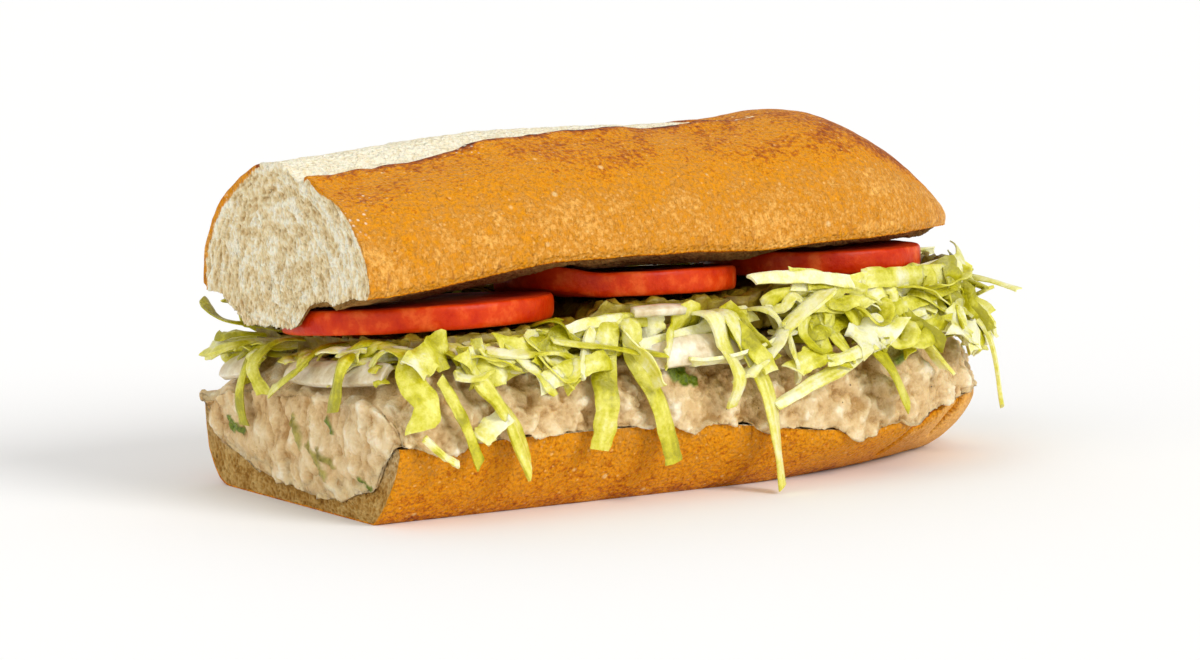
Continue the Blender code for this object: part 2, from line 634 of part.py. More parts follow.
def lettuce(finish):
    """The lettuce core with its strands fused on by one union."""
    core = add("lettuce_shreds", skin("lettuce_shreds", core_form, 20, 6, 1), finish)
    strands = bpy.data.collections.new("strands")
    bpy.context.scene.collection.children.link(strands)
    draw = random.Random(3)
    shreds = [(*strand, 7) for strand in hero_strands()]
    shreds = shreds + [(*strand, 4) for strand in random_shreds(draw)]
    for points, width, facing, twist, steps in shreds:
        form = ribbon_form(points, width, STRAND_THICKNESS, facing, twist)
        strand = bpy.data.objects.new("strand", skin("strand", form, steps, 1, 1))
        strands.objects.link(strand)
    union = core.modifiers.new("fuse strands", "BOOLEAN")
    union.operation = "UNION"
    union.operand_type = "COLLECTION"
    union.collection = strands
    union.solver = "MANIFOLD"
    graph = bpy.context.evaluated_depsgraph_get()
    fused = bpy.data.meshes.new_from_object(core.evaluated_get(graph))
    core.modifiers.clear()
    core.data = fused
    for strand in list(strands.objects):
        bpy.data.objects.remove(strand)
    bpy.data.collections.remove(strands)
    biggest_piece(fused)
    return core


def onions(finish):
    """Four cut slices of onion, laid on the tuna salad where they show."""
    for index, (width, facing, places) in enumerate(ONIONS):
        points = [Vector(place) for place in places]
        name = f"onion_{index + 1}"
        form = ribbon_form(points, width, 1.5, Vector(facing), wave=0.0)
        add(name, skin(name, form, 12, 2, 1), finish)


def main():
    """Build every sub-part."""
    for old in list(bpy.data.objects):
        bpy.data.objects.remove(old)
    crust = material("crust", (0.62, 0.27, 0.05), 0.55)
    tuna = material("tuna_salad", (0.62, 0.50, 0.34), 0.45)
    tomato = material("tomato", (0.55, 0.05, 0.01), 0.3)
    green = material("lettuce", (0.50, 0.55, 0.10), 0.45)
    pale = material("onion", (0.68, 0.60, 0.42), 0.3)
    add("bun_bottom", skin("bun_bottom", bun_bottom_form, LOAF_STEPS, LOAF_ACROSS, 2), crust)
    add("tuna_salad", skin("tuna_salad", tuna_form, TUNA_STEPS, LOAF_ACROSS, 4), tuna)
    onions(pale)
    lettuce(green)
    for number in range(len(TOMATOES)):
        add(f"tomato_{number + 1}", tomato_slice(number), tomato)
    add("bun_top", skin("bun_top", bun_top_form, CROWN_STEPS, CROWN_ACROSS, 4), crust)


main()
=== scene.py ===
"""Looks of a submarine sandwich: bread, tuna salad, onion, shredded lettuce and tomato.

The forms repeat those of the frame's solids at a finer step. Sizes are in millimetres until a
piece is finished, when its mesh is scaled to metres. X runs from the cut end to the nose, -Y is
the near side and Z is up.
"""
import math
import random

import bmesh
import bpy
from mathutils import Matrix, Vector, noise


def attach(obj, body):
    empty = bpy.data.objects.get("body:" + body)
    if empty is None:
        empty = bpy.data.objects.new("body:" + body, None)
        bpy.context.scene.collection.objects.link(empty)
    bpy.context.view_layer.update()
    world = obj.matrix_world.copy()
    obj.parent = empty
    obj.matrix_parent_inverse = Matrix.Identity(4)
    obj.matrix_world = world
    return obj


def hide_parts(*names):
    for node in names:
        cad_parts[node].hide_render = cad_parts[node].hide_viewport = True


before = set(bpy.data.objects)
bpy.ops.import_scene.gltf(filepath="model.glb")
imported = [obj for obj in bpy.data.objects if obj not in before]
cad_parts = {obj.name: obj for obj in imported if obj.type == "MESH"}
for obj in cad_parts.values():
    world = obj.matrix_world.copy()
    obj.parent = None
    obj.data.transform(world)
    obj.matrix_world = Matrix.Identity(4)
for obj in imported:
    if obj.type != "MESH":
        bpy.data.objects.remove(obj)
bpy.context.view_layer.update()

MM = 0.001
GAP = 0.4

# Without a seed of its own, the vector noise would follow the clock.
noise.seed_set(1)

# Camera: the photograph's angle. The image is 1200 x 660.
CAMERA_AIM = Vector((-15.66, -3.34, 34.4)) * MM
CAMERA_AZIMUTH = math.radians(-34.1)
CAMERA_ELEVATION = math.radians(7.4)
CAMERA_DISTANCE = 1.0505
CAMERA_LENS = 135.0
FLOOR_SIZE = 12.0
# Lamps: name, direction and height in degrees, spread in degrees and power.
LAMPS = (
    ("key", 20.0, 30.0, 26.0, 1.75),
    ("fill", -72.0, 26.0, 60.0, 0.8),
    ("back", 160.0, 50.0, 50.0, 0.3),
)

# Lower loaf.
CUT_X = -95.0
SHOULDER_X = 20.0
NOSE_X = 87.5
HALF_WIDTH = 43.2
NOSE_ROUNDNESS = 2.35
TIP_HALF_WIDTH = 2.5
STRAIGHT_PART = 0.56
BASE_HALF_WIDTH = 32.0
RIM_HEIGHT = 18.3
RIM_DIP = 6.0
RIM_DIP_X = 32.0
RIM_DIP_LENGTH = 36.0
RIM_THICKNESS = 5.5
FLOOR_HEIGHT = 9.5
TROUGH_FLOOR_WIDTH = 0.62
TROUGH_END_LENGTH = 15.0
FLANK_START = 4.0 / 7.0
WALL_TOP = 6.0 / 7.0
TOE_LENGTH = 12.5
TOE_SLOPE = 0.3
NEAR_SIDE_ROUNDNESS = 1.3
FAR_SIDE_ROUNDNESS = 2.1
SETTLE = 0.06
CREASE_X = 66.0
CREASE_LENGTH = 3.5
CREASE_DEPTH = 1.6
FOLD_DEPTH = 2.2
LOAF_STEPS = 34
LOAF_GRID = (200, 70, 18)

# Tuna salad.
TUNA_HEIGHT = 33.6
TUNA_BEYOND_CUT = 2.4
TUNA_END_FALL = 9.0
TUNA_BULGE = 2.0
TUNA_LUMP = 1.3
TUNA_LUMP_SIZE = 11.0
TUNA_GRID = (190, 44, 15)

# Tomato slices: centre, half lengths along and across the turned axis, rise along X and Y.
TOMATO_THICKNESS = 5.6
TOMATO_TURN = math.radians(-34.0)
TOMATOES = (
    (-68.6, -8, 42.6, 30.8, 28, 0.010, -0.089),
    (-15, -8, 46.2, 28.2, 26, -0.017, -0.096),
    (42, -8, 48.3, 26, 25, -0.010, -0.052),
)
TOMATO_LIFT_X = -36.0
TOMATO_LIFT = 2.6
TOMATO_FLAT = 0.96
TOMATO_SPOKES = 144
SLICE_SLOPE = 0.9

# Upper loaf.
CROWN_CUT_X = -100.0
CROWN_SHOULDER_X = 12.0
CROWN_NOSE_X = 80.8
CROWN_NOSE_ROUNDNESS = 2.12
CROWN_FALL_X = 30.5
CROWN_FALL_POWER = 1.91
CROWN_FALL_ROUNDNESS = 0.87
CROWN_SWELL = 2.2
CROWN_SWELL_X = 42.0
CROWN_SWELL_LENGTH = 22.0
CROWN_END_DROP = 0.5
CROWN_HALF_WIDTH = 36.9
CROWN_RISE = 29.5
CROWN_ROLL = math.radians(5.2)
CROWN_CENTRE_Y = -2.5
CROWN_BASE_HEIGHT = 47.6
CROWN_BASE_LIFT = 5.0
CROWN_FAR_LIFT = 1.5
CROWN_SAG = 0.8
CROWN_NOSE_LIFT = 1.1
CROWN_STEPS = 36
CROWN_GRID = (220, 100, 22)
FLAP_ROWS = 3.0
FLAP_SHARE = 0.05
SLASH_NEAR = -9.5
SLASH_STEP = 3.0
SLASH_FAR = 8.5
SLASH_END_X = 34.0
SLASH_DEPTH = 2.2
NEAR_EAR = 1.5
FAR_EAR = 0.5
NEAR_FLAT = 2.6
CRUST_THICKNESS = 1.1
CRUMB_SAG = 4.6

# Lettuce and onion.
CORE_WIDTH = 0.80
CORE_GRID = (150, 60, 14)
LETTUCE_SEED = 7
LEDGE_SEED = 3
SIDE_SHREDS = 250
END_SHREDS = 34
LEDGE_SHREDS = 90
LEAF_THICKNESS = 0.35
RIB_THICKNESS = 0.8
LEAF_EDGE_ANGLE = math.radians(50.0)
ONION_THICKNESS = 1.5
ONION_GRID = (60, 16, 3)
# Onion slices: width, facing and the places of the middle line.
ONIONS = (
    (6.5, (-0.75, 0, 0.66), ((-94.9, 4, 30.2), (-95.3, -10, 31.2), (-94.9, -24, 32.8), (-93.1, -35, 33.8))),
    (7, (0, -1, 0.45), ((-29, -42.6, 33), (-20, -43.2, 34.2), (-10, -43.2, 34), (-2.5, -42.6, 32.2))),
    (4.2, (0, -0.2, 1), ((-30.5, -38.4, 43.4), (-23.5, -40, 43.7), (-17, -38.4, 43.2))),
    (6, (-0.75, 0, 0.66), ((-94.8, 34, 27), (-95.4, 27, 28.6), (-95.2, 20, 29.4))),
)


def clamp(value, low=0.0, high=1.0):
    """Keep a value between two limits."""
    return max(low, min(high, value))


def ramp(value, start, end):
    """Ease from 0 at start to 1 at end."""
    share = clamp((value - start) / (end - start))
    return share * share * (3.0 - 2.0 * share)


def fall(value, start, end):
    """Ease from 1 at start to 0 at end."""
    return 1.0 - ramp(value, start, end)


def mix(first, second, share):
    """Blend two numbers."""
    return first + (second - first) * share


def hump(value, centre, length):
    """A smooth hump of height 1 round a centre."""
    return math.exp(-((value - centre) / length) ** 2)


def lump(x, y, z, size):
    """Smooth noise between about -1 and 1, with lumps of the given size."""
    return noise.noise(Vector((x, y, z)) / size)


def grain(point, size):
    """Smooth noise at a point, between about -1 and 1."""
    return noise.noise(point / size)


def bubbles(point, size):
    """0 in the hollow of a bubble, 1 on the wall between two bubbles of about this size."""
    reach = noise.voronoi(point / size)[0]
    return fall(reach[1] - reach[0], 0.02, 0.45)


def flakes(point, size):
    """Rounded lumps of about this size: 1 on top of a lump, 0 in the crease between two."""
    reach = noise.voronoi(point / size)[0]
    return ramp(reach[1] - reach[0], 0.0, 0.6)


def skin(form, along, across, up):
    """A closed body: the six sides of a box, each a grid, whose points form(u, s, t) places."""
    sides = (
        (along, across, lambda p, q: (p, q, 0.0)),
        (along, across, lambda p, q: (p, q, 1.0)),
        (along, up, lambda p, q: (p, 0.0, q)),
        (along, up, lambda p, q: (p, 1.0, q)),
        (across, up, lambda p, q: (0.0, p, q)),
        (across, up, lambda p, q: (1.0, p, q)),
    )
    shape = bmesh.new()
    place = shape.verts.layers.float_vector.new("place")
    for columns, rows, corner in sides:
        grid = bmesh.ops.create_grid(shape, x_segments=columns, y_segments=rows, size=0.5)
        for vert in grid["verts"]:
            p = round((vert.co.x + 0.5) * columns) / columns
            q = round((vert.co.y + 0.5) * rows) / rows
            vert[place] = corner(p, q)
            vert.co = Vector(form(*corner(p, q)))
    bmesh.ops.remove_doubles(shape, verts=shape.verts, dist=0.005)
    bmesh.ops.recalc_face_normals(shape, faces=shape.faces)
    if shape.calc_volume(signed=True) < 0.0:
        bmesh.ops.reverse_faces(shape, faces=shape.faces)
    return shape


def refine(shape, wanted, cuts):
    """Cut the faces whose corners all pass wanted(place) into a finer grid."""
    place = shape.verts.layers.float_vector["place"]
    chosen = [face for face in shape.faces if all(wanted(*vert[place]) for vert in face.verts)]
    edges = {edge for face in chosen for edge in face.edges}
    bmesh.ops.subdivide_edges(shape, edges=list(edges), cuts=cuts, use_grid_fill=True)


def sculpt(shape, masks, relief):
    """Colour each vertex by masks(point, place) and raise it along its normal by relief."""
    place = shape.verts.layers.float_vector["place"]
    shape.verts.ensure_lookup_table()
    first = shape.verts[0]
    names = list(masks(first.co.copy(), first[place].copy()))
    for name in names:
        shape.verts.layers.float.new(name)
    place = shape.verts.layers.float_vector["place"]
    layers = [(name, shape.verts.layers.float[name]) for name in names]
    shape.normal_update()
    moves = []
    for vert in shape.verts:
        values = masks(vert.co, vert[place])
        for name, layer in layers:
            vert[layer] = values[name]
        moves.append(vert.normal * relief(vert.co, values))
    for vert, move in zip(shape.verts, moves):
        vert.co = vert.co + move


def add_object(name, data):
    """Put a mesh, a light or a camera into the scene."""
    item = bpy.data.objects.new(name, data)
    bpy.context.scene.collection.objects.link(item)
    return item


def solid(name, shape, finish):
    """An object of one shape and one material."""
    mesh = bpy.data.meshes.new(name)
    shape.to_mesh(mesh)
    shape.free()
    mesh.materials.append(finish)
    return add_object(name, mesh)


def settle(name, shape, slot, finish, *nodes):
    """Turn a shape in millimetres into a finished piece that stands for frame nodes."""
    bmesh.ops.scale(shape, vec=(MM, MM, MM), verts=shape.verts)
    piece = solid(name, shape, finish)
    piece.data.shade_smooth()
    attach(piece, "root")
    if nodes:
        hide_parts(*nodes)
    return piece


# Colour and node helpers.


def colour(red, green, blue):
    """A linear colour from values of 0 to 255 as seen on a screen."""
    def linear(value):
        share = value / 255.0
        return share / 12.92 if share <= 0.04045 else ((share + 0.055) / 1.055) ** 2.4
    return (linear(red), linear(green), linear(blue), 1.0)


def put(tree, kind, inputs=None, **settings):
    """Add a node, set its properties, and fill or link its sockets."""
    node = tree.nodes.new(kind)
    for key, value in settings.items():
        setattr(node, key, value)
    for socket, value in (inputs or {}).items():
        if isinstance(value, bpy.types.NodeSocket):
            tree.links.new(value, node.inputs[socket])
        else:
            node.inputs[socket].default_value = value
    return node


def feed(shader, socket, value):
    """Link a value to one of the shader's sockets."""
    shader.id_data.links.new(value, shader.inputs[socket])


def calc(tree, operation, *values):
    """A Math node's result."""
    return put(tree, "ShaderNodeMath", dict(enumerate(values)), operation=operation).outputs[0]


def add_up(tree, start, *parts):
    """A starting number plus each value times its weight."""
    total = start
    for value, weight in parts:
        total = calc(tree, "MULTIPLY_ADD", value, weight, total)
    return total


def remap(tree, value, low, high, first=0.0, last=1.0):
    """Turn the stretch from low to high into first to last, and clamp it there."""
    return put(tree, "ShaderNodeMapRange", {0: value, 1: low, 2: high, 3: first, 4: last}).outputs[0]


def stretch(tree, place, factors):
    """Coordinates multiplied along each axis."""
    return put(tree, "ShaderNodeVectorMath", {0: place, 1: factors}, operation="MULTIPLY").outputs[0]


def blend_colours(tree, factor, first, second):
    """A colour mix by a mask."""
    return put(tree, "ShaderNodeMix", {0: factor, 6: first, 7: second}, data_type="RGBA").outputs[2]


def shades(tree, factor, *stops):
    """A colour ramp from rows of place, red, green and blue."""
    node = put(tree, "ShaderNodeValToRGB", {0: factor})
    line = node.color_ramp.elements
    while len(line) < len(stops):
        line.new(0.5)
    for element, (place, *shade) in zip(line, stops):
        element.position = place
        element.color = colour(*shade)
    return node.outputs[0]


def mask(tree, name):
    """A value stored on the piece's vertices."""
    return put(tree, "ShaderNodeAttribute", attribute_name=name).outputs["Fac"]


def group(name, inputs, outputs, wire):
    """A node group with named number sockets, wired by wire(tree, inputs)."""
    tree = bpy.data.node_groups.new(name, "ShaderNodeTree")
    for label, value in inputs:
        socket = tree.interface.new_socket(label, in_out="INPUT", socket_type="NodeSocketFloat")
        socket.default_value = value
    tree.interface.new_socket(outputs, in_out="OUTPUT", socket_type="NodeSocketFloat")
    source = tree.nodes.new("NodeGroupInput")
    result = tree.nodes.new("NodeGroupOutput")
    tree.links.new(wire(tree, source.outputs), result.inputs[outputs])
    return tree


def millimetres(tree):
    """Object coordinates in millimetres."""
    return stretch(tree, put(tree, "ShaderNodeTexCoord").outputs["Object"], (1000.0, 1000.0, 1000.0))


def wire_mottle(tree, given):
    """Cloudy variation between 0 and 1, with blotches of a size in millimetres."""
    scale = calc(tree, "DIVIDE", 1.0, given["Size"])
    cloud = put(tree, "ShaderNodeTexNoise",
                {"Vector": millimetres(tree), "Scale": scale, "Detail": 4.0, "Roughness": 0.6})
    return remap(tree, cloud.outputs[0], 0.32, 0.68)


def wire_specks(tree, given):
    """Scattered dots: 1 inside a dot. Share is how many of the cells have one."""
    scale = calc(tree, "DIVIDE", 1.0, given["Spacing"])
    cells = put(tree, "ShaderNodeTexVoronoi",
                {"Vector": millimetres(tree), "Scale": scale, "Randomness": 1.0})
    pick = put(tree, "ShaderNodeSeparateColor", {0: cells.outputs["Color"]})
    chosen = calc(tree, "LESS_THAN", pick.outputs[0], given["Share"])
    radius = calc(tree, "MULTIPLY", given["Radius"], calc(tree, "ADD", 0.5, pick.outputs[1]))
    edge = calc(tree, "DIVIDE", radius, given["Spacing"])
    inside = remap(tree, cells.outputs["Distance"], edge, calc(tree, "MULTIPLY", edge, 0.4))
    return calc(tree, "MULTIPLY", chosen, inside)


MOTTLE = group("mottle", (("Size", 5.0),), "Cloud", wire_mottle)
SPECKS = group("specks", (("Spacing", 2.0), ("Radius", 0.3), ("Share", 0.5)), "Dots", wire_specks)


def clouds(tree, size):
    """The mottle group with blotches of this size."""
    return put(tree, "ShaderNodeGroup", {"Size": size}, node_tree=MOTTLE).outputs["Cloud"]


def dots(tree, spacing, radius, share):
    """The specks group with dots of this spacing, radius and share."""
    given = {"Spacing": spacing, "Radius": radius, "Share": share}
    return put(tree, "ShaderNodeGroup", given, node_tree=SPECKS).outputs["Dots"]


def material(name, roughness, specular=0.5, subsurface=0.0, depth=1.0, radius=(1.0, 0.5, 0.25), coat=0.0):
    """A material and its shader. Depth is how many millimetres light spreads under the surface."""
    finish = bpy.data.materials.new(name)
    finish.use_nodes = True
    shader = finish.node_tree.nodes["Principled BSDF"]
    for socket, value in (
        ("Roughness", roughness),
        ("Specular IOR Level", specular),
        ("Subsurface Weight", subsurface),
        ("Subsurface Scale", depth * MM),
        ("Subsurface Radius", radius),
        ("Coat Weight", coat),
        ("Coat Roughness", 0.15),
    ):
        shader.inputs[socket].default_value = value
    return finish, finish.node_tree, shader


def bump(tree, shader, height, distance):
    """Drive the shader's normal from a height of 0 to 1 worth distance millimetres."""
    node = put(tree, "ShaderNodeBump", {"Strength": 1.0, "Distance": distance * MM, "Height": height})
    feed(shader, "Normal", node.outputs[0])


# Freckles on the crust: spacing, radius, share of cells, strength and colour.
FRECKLES = (
    (2.0, 0.34, 0.75, 0.6, (250, 196, 118)),
    (5.5, 0.6, 0.5, 0.7, (252, 216, 152)),
    (3.3, 0.3, 0.4, 0.35, (150, 74, 12)),
)


def bread():
    """Crust and crumb: golden and freckled outside, tan and open inside."""
    finish, tree, shader = material("bread", 0.5, specular=0.12, subsurface=0.06, radius=(1.0, 0.5, 0.2))
    place = millimetres(tree)
    cloud = clouds(tree, 8.0)
    patch = clouds(tree, 3.2)
    fine = clouds(tree, 1.1)
    toast = add_up(tree, -0.33, (mask(tree, "toast"), 1.0), (fine, 0.36), (patch, 0.15), (cloud, 0.16))
    crust = shades(tree, toast, (0.0, 246, 184, 92), (0.28, 208, 138, 42), (0.5, 229, 148, 2),
                   (0.7, 188, 102, 2), (0.86, 146, 66, 5), (1.0, 92, 38, 10))
    for spacing, radius, share, strength, shade in FRECKLES:
        freckles = calc(tree, "MULTIPLY", dots(tree, spacing, radius, share), strength)
        crust = blend_colours(tree, freckles, crust, colour(*shade))
    flour = calc(tree, "MULTIPLY", dots(tree, 1.1, 0.34, 0.55), mask(tree, "flour"))
    crust = blend_colours(tree, flour, crust, colour(252, 238, 214))
    height = put(tree, "ShaderNodeSeparateXYZ", {0: place}).outputs[2]
    low_band = remap(tree, height, 53.0, 64.0, 1.0, 0.0)
    low_band = calc(tree, "MULTIPLY", remap(tree, height, 44.0, 49.0), low_band)
    upright = stretch(tree, place, (1.0, 1.0, 0.28))
    splits = put(tree, "ShaderNodeTexNoise", {"Vector": upright, "Scale": 0.75, "Detail": 2.0}).outputs[0]
    cracks = calc(tree, "MULTIPLY", remap(tree, splits, 0.61, 0.66, 0.0, 0.6), low_band)
    crust = blend_colours(tree, cracks, crust, colour(150, 82, 22))
    # The crumb is darker in the hollows of its bubbles: painted shade in the pores.
    walls = add_up(tree, -0.12, (mask(tree, "pore"), 1.0), (fine, 0.24))
    crumb = shades(tree, walls, (0.0, 146, 106, 54), (0.32, 208, 178, 126), (0.66, 238, 218, 172),
                   (1.0, 250, 244, 220))
    # Darker crumb colours: soaked crumb on the lower loaf's cut face, and painted shade on the upper loaf's
    # underside.
    soaked_and_shaded = shades(tree, walls, (0.0, 118, 74, 20), (0.5, 168, 124, 56), (1.0, 206, 170, 104))
    crumb = blend_colours(tree, mask(tree, "soak"), crumb, soaked_and_shaded)
    edge = add_up(tree, -0.25, (mask(tree, "crumb"), 1.0), (fine, 0.5))
    inside = remap(tree, edge, 0.35, 0.65)
    feed(shader, "Base Color", blend_colours(tree, inside, crust, crumb))
    gloss = remap(tree, inside, 0.0, 1.0, 0.42, 0.9)
    feed(shader, "Roughness", calc(tree, "MULTIPLY_ADD", cloud, 0.1, gloss))
    wrinkles = put(tree, "ShaderNodeTexNoise", {
        "Vector": stretch(tree, place, (1.0, 1.0, 0.45)),
        "Scale": 0.9, "Detail": 3.0, "Distortion": 0.6}).outputs[0]
    pits = put(tree, "ShaderNodeTexVoronoi", {"Vector": place, "Scale": 1.3}, feature="SMOOTH_F1").outputs[0]
    bump(tree, shader, calc(tree, "MULTIPLY_ADD", pits, 0.6, wrinkles), 1.2)
    return finish


def tuna_finish():
    """Moist flaked fish in dressing: cream over tan flakes, with pepper, parsley and celery."""
    finish, tree, shader = material("tuna_salad", 0.38, specular=0.4, subsurface=0.3, depth=1.5,
                                    radius=(1.0, 0.7, 0.4))
    cloud = clouds(tree, 6.0)
    patch = clouds(tree, 2.2)
    fine = clouds(tree, 0.8)
    # Painted shade and painted highlight: the colour darkens in the creases between flakes and lightens on
    # their tops.
    height = add_up(tree, -0.24, (mask(tree, "height"), 1.0), (fine, 0.24), (patch, 0.24))
    flake = shades(tree, height, (0.0, 162, 118, 58), (0.3, 212, 175, 118), (0.6, 226, 194, 138),
                   (1.0, 246, 226, 188))
    cream = shades(tree, height, (0.0, 192, 150, 88), (0.4, 224, 196, 146), (0.7, 236, 214, 170),
                   (1.0, 250, 240, 214))
    body = blend_colours(tree, add_up(tree, -0.25, (mask(tree, "tone"), 1.0), (cloud, 0.5)), flake, cream)
    celery = shades(tree, patch, (0.0, 116, 104, 14), (1.0, 186, 172, 84))
    body = blend_colours(tree, mask(tree, "celery"), body, celery)
    herb = shades(tree, fine, (0.0, 66, 86, 4), (1.0, 128, 146, 22))
    body = blend_colours(tree, mask(tree, "herb"), body, herb)
    body = blend_colours(tree, dots(tree, 3.0, 0.26, 0.3), body, colour(60, 42, 28))
    feed(shader, "Base Color", body)
    feed(shader, "Roughness", calc(tree, "MULTIPLY_ADD", cloud, 0.25, 0.22))
    bump(tree, shader, add_up(tree, 0.0, (patch, 0.65), (fine, 0.35)), 0.4)
    return finish


def leaf_finish(name, stops, roughness, depth):
    """Crisp leaf with light inside it: stops run from the leaf's green to its pale rib."""
    finish, tree, shader = material(name, roughness, subsurface=0.45, depth=depth, radius=(1.0, 0.95, 0.2),
                                    coat=0.08)
    fine = clouds(tree, 0.9)
    tone = add_up(tree, -0.32, (mask(tree, "rib"), 1.0), (fine, 0.1), (clouds(tree, 3.6), 0.42))
    feed(shader, "Base Color", shades(tree, tone, *stops))
    bump(tree, shader, fine, 0.12)
    return finish


def tomato_finish():
    """Tomato: glossy red skin on the rim, paler flesh with darker seed pockets on the cut faces."""
    finish, tree, shader = material("tomato", 0.26, specular=0.18, subsurface=0.15, depth=2.0,
                                    radius=(1.0, 0.2, 0.05))
    cloud = clouds(tree, 5.0)
    out = add_up(tree, -0.03, (mask(tree, "out"), 1.0), (cloud, 0.06))
    flesh = shades(tree, out, (0.0, 226, 110, 50), (0.45, 220, 74, 24), (0.72, 190, 40, 6),
                   (0.9, 224, 66, 10), (1.0, 206, 42, 4))
    rind = shades(tree, cloud, (0.0, 192, 36, 0), (0.6, 214, 60, 2), (1.0, 232, 96, 34))
    rim = mask(tree, "rim")
    feed(shader, "Base Color", blend_colours(tree, rim, flesh, rind))
    wet = remap(tree, rim, 0.0, 1.0, 0.6, 0.3)
    feed(shader, "Roughness", calc(tree, "MULTIPLY_ADD", cloud, 0.14, wet))
    bump(tree, shader, clouds(tree, 1.4), 0.08)
    return finish


def onion_finish():
    """Translucent white onion, cloudy inside."""
    finish, tree, shader = material("onion", 0.28, subsurface=0.5, depth=2.5, radius=(1.0, 0.8, 0.5),
                                    coat=0.15)
    cloud = clouds(tree, 3.0)
    feed(shader, "Base Color", shades(tree, cloud, (0.0, 206, 184, 140), (1.0, 244, 234, 208)))
    bump(tree, shader, cloud, 0.1)
    return finish


def loaf_outline(u, cut, shoulder, nose, wide, roundness):
    """Station and half width at u of a loaf that runs straight and then rounds to its nose."""
    if u < STRAIGHT_PART:
        return mix(cut, shoulder, u / STRAIGHT_PART), wide
    turn = (u - STRAIGHT_PART) / (1.0 - STRAIGHT_PART) * math.pi / 2.0
    power = 2.0 / roundness
    x = shoulder + (nose - shoulder) * math.sin(turn) ** power
    return x, max(wide * max(math.cos(turn), 0.0) ** power, TIP_HALF_WIDTH)


def hull(u):
    """Station and half width of the lower loaf at u, from the cut end to the nose."""
    return loaf_outline(u, CUT_X, SHOULDER_X, NOSE_X, HALF_WIDTH, NOSE_ROUNDNESS)


def half_width(x):
    """Half width of the lower loaf's rim at x."""
    reach = clamp((x - SHOULDER_X) / (NOSE_X - SHOULDER_X))
    return HALF_WIDTH * (1.0 - reach ** NOSE_ROUNDNESS) ** (1.0 / NOSE_ROUNDNESS)


def rim_height(x, v):
    """Height of the rim: it dips on the near side where the filling hangs over it."""
    near = ramp(-v, -1.0, 1.0)
    dip = RIM_DIP * hump(x, RIM_DIP_X, RIM_DIP_LENGTH) * near
    return mix(RIM_HEIGHT + 1.2, RIM_HEIGHT, near) - dip - 1.5 * ramp(x, 60.0, NOSE_X)


def trough(x, width, v):
    """A point of the lower loaf's upper side: floor, wall and rim, for v from -1 to 1."""
    reach = abs(v)
    side = math.copysign(1.0, v)
    rim = rim_height(x, v)
    floor = mix(FLOOR_HEIGHT, rim - 1.0, ramp(x, NOSE_X - TROUGH_END_LENGTH, NOSE_X - 3.0))
    floor_width = TROUGH_FLOOR_WIDTH * width
    wall_width = max(width - RIM_THICKNESS, floor_width)
    if reach <= FLANK_START:
        return side * floor_width * reach / FLANK_START, floor
    if reach <= WALL_TOP:
        share = (reach - FLANK_START) / (WALL_TOP - FLANK_START)
        return side * mix(floor_width, wall_width, share), mix(floor, rim - 0.5, ramp(share, -0.2, 1.0))
    share = (reach - WALL_TOP) / (1.0 - WALL_TOP)
    return side * mix(wall_width, width, share), mix(rim - 0.5, rim, share)


def base(x, width, v):
    """A point of the lower loaf's outer side: flat base and rounded flank."""
    reach = abs(v)
    side = math.copysign(1.0, v)
    rim = rim_height(x, v) - 1.5
    lift = TOE_SLOPE * max(0.0, x - NOSE_X + TOE_LENGTH)
    contact = BASE_HALF_WIDTH * (1.0 - clamp((x - 5.0) / 90.0) ** 1.5)
    contact = min(contact, 0.9 * width)
    if reach <= FLANK_START:
        return side * contact * reach / FLANK_START, lift
    turn = (reach - FLANK_START) / (1.0 - FLANK_START) * math.pi / 2.0
    power = 2.0 / (NEAR_SIDE_ROUNDNESS if v < 0.0 else FAR_SIDE_ROUNDNESS)
    out = math.sin(turn) ** power
    rise = 1.0 - max(math.cos(turn), 0.0) ** power
    return side * mix(contact, width, out), mix(lift, rim, rise)


def lower_loaf_form(u, s, t):
    """Lower loaf, with a crease on the near side of the nose."""
    x, width = hull(u)
    v = 2.0 * s - 1.0
    low_y, low_z = base(x, width, v)
    high_y, high_z = trough(x, width, v)
    y = mix(low_y, high_y, t)
    z = mix(low_z, high_z, t)
    if v < -0.7 and t < 1.0:
        crease = CREASE_DEPTH * hump(x, CREASE_X, CREASE_LENGTH) * ramp(-v, 0.7, 0.9)
        y = y + crease
        x = x - 0.5 * crease
    return x, y, z


def line_distance(point, start, end):
    """Distance from a point to the stretch between two places."""
    span = end - start
    share = clamp((point - start).dot(span) / max(span.length_squared, 0.01))
    return (point - start - span * share).length


NOSE_FOLDS = (
    (1, (49, -1, 9.6), (54.5, -1, 11.6)),
    (1.1, (54.5, -1, 11.6), (59.6, -1, 15)),
    (0.9, (48, -1, 8.4), (45.6, -1, 4)),
    (1, (69.6, -1, 15), (64.6, -1, 6.6)),
    (1.1, (80.8, -1, 15), (80, -1, 5)),
    (1.1, (60, 1, 16), (66, 1, 6)),
    (1, (78, 1, 13), (76, 1, 5)),
)


def nose_folds(point):
    """1 in the folds of the crust round the lower loaf's nose, fading to 0 beside them."""
    if point.x < 42.0 or point.z > 17.0:
        return 0.0
    deepest = 0.0
    wander = 0.8 * grain(point, 3.0)
    for width, start, end in NOSE_FOLDS:
        if start[1] * point.y > 0.0:
            level = Vector((point.x, start[1], point.z))
            reach = line_distance(level, Vector(start), Vector(end)) + wander
            deepest = max(deepest, fall(reach, 0.1 * width, 1.5 * width))
    return deepest


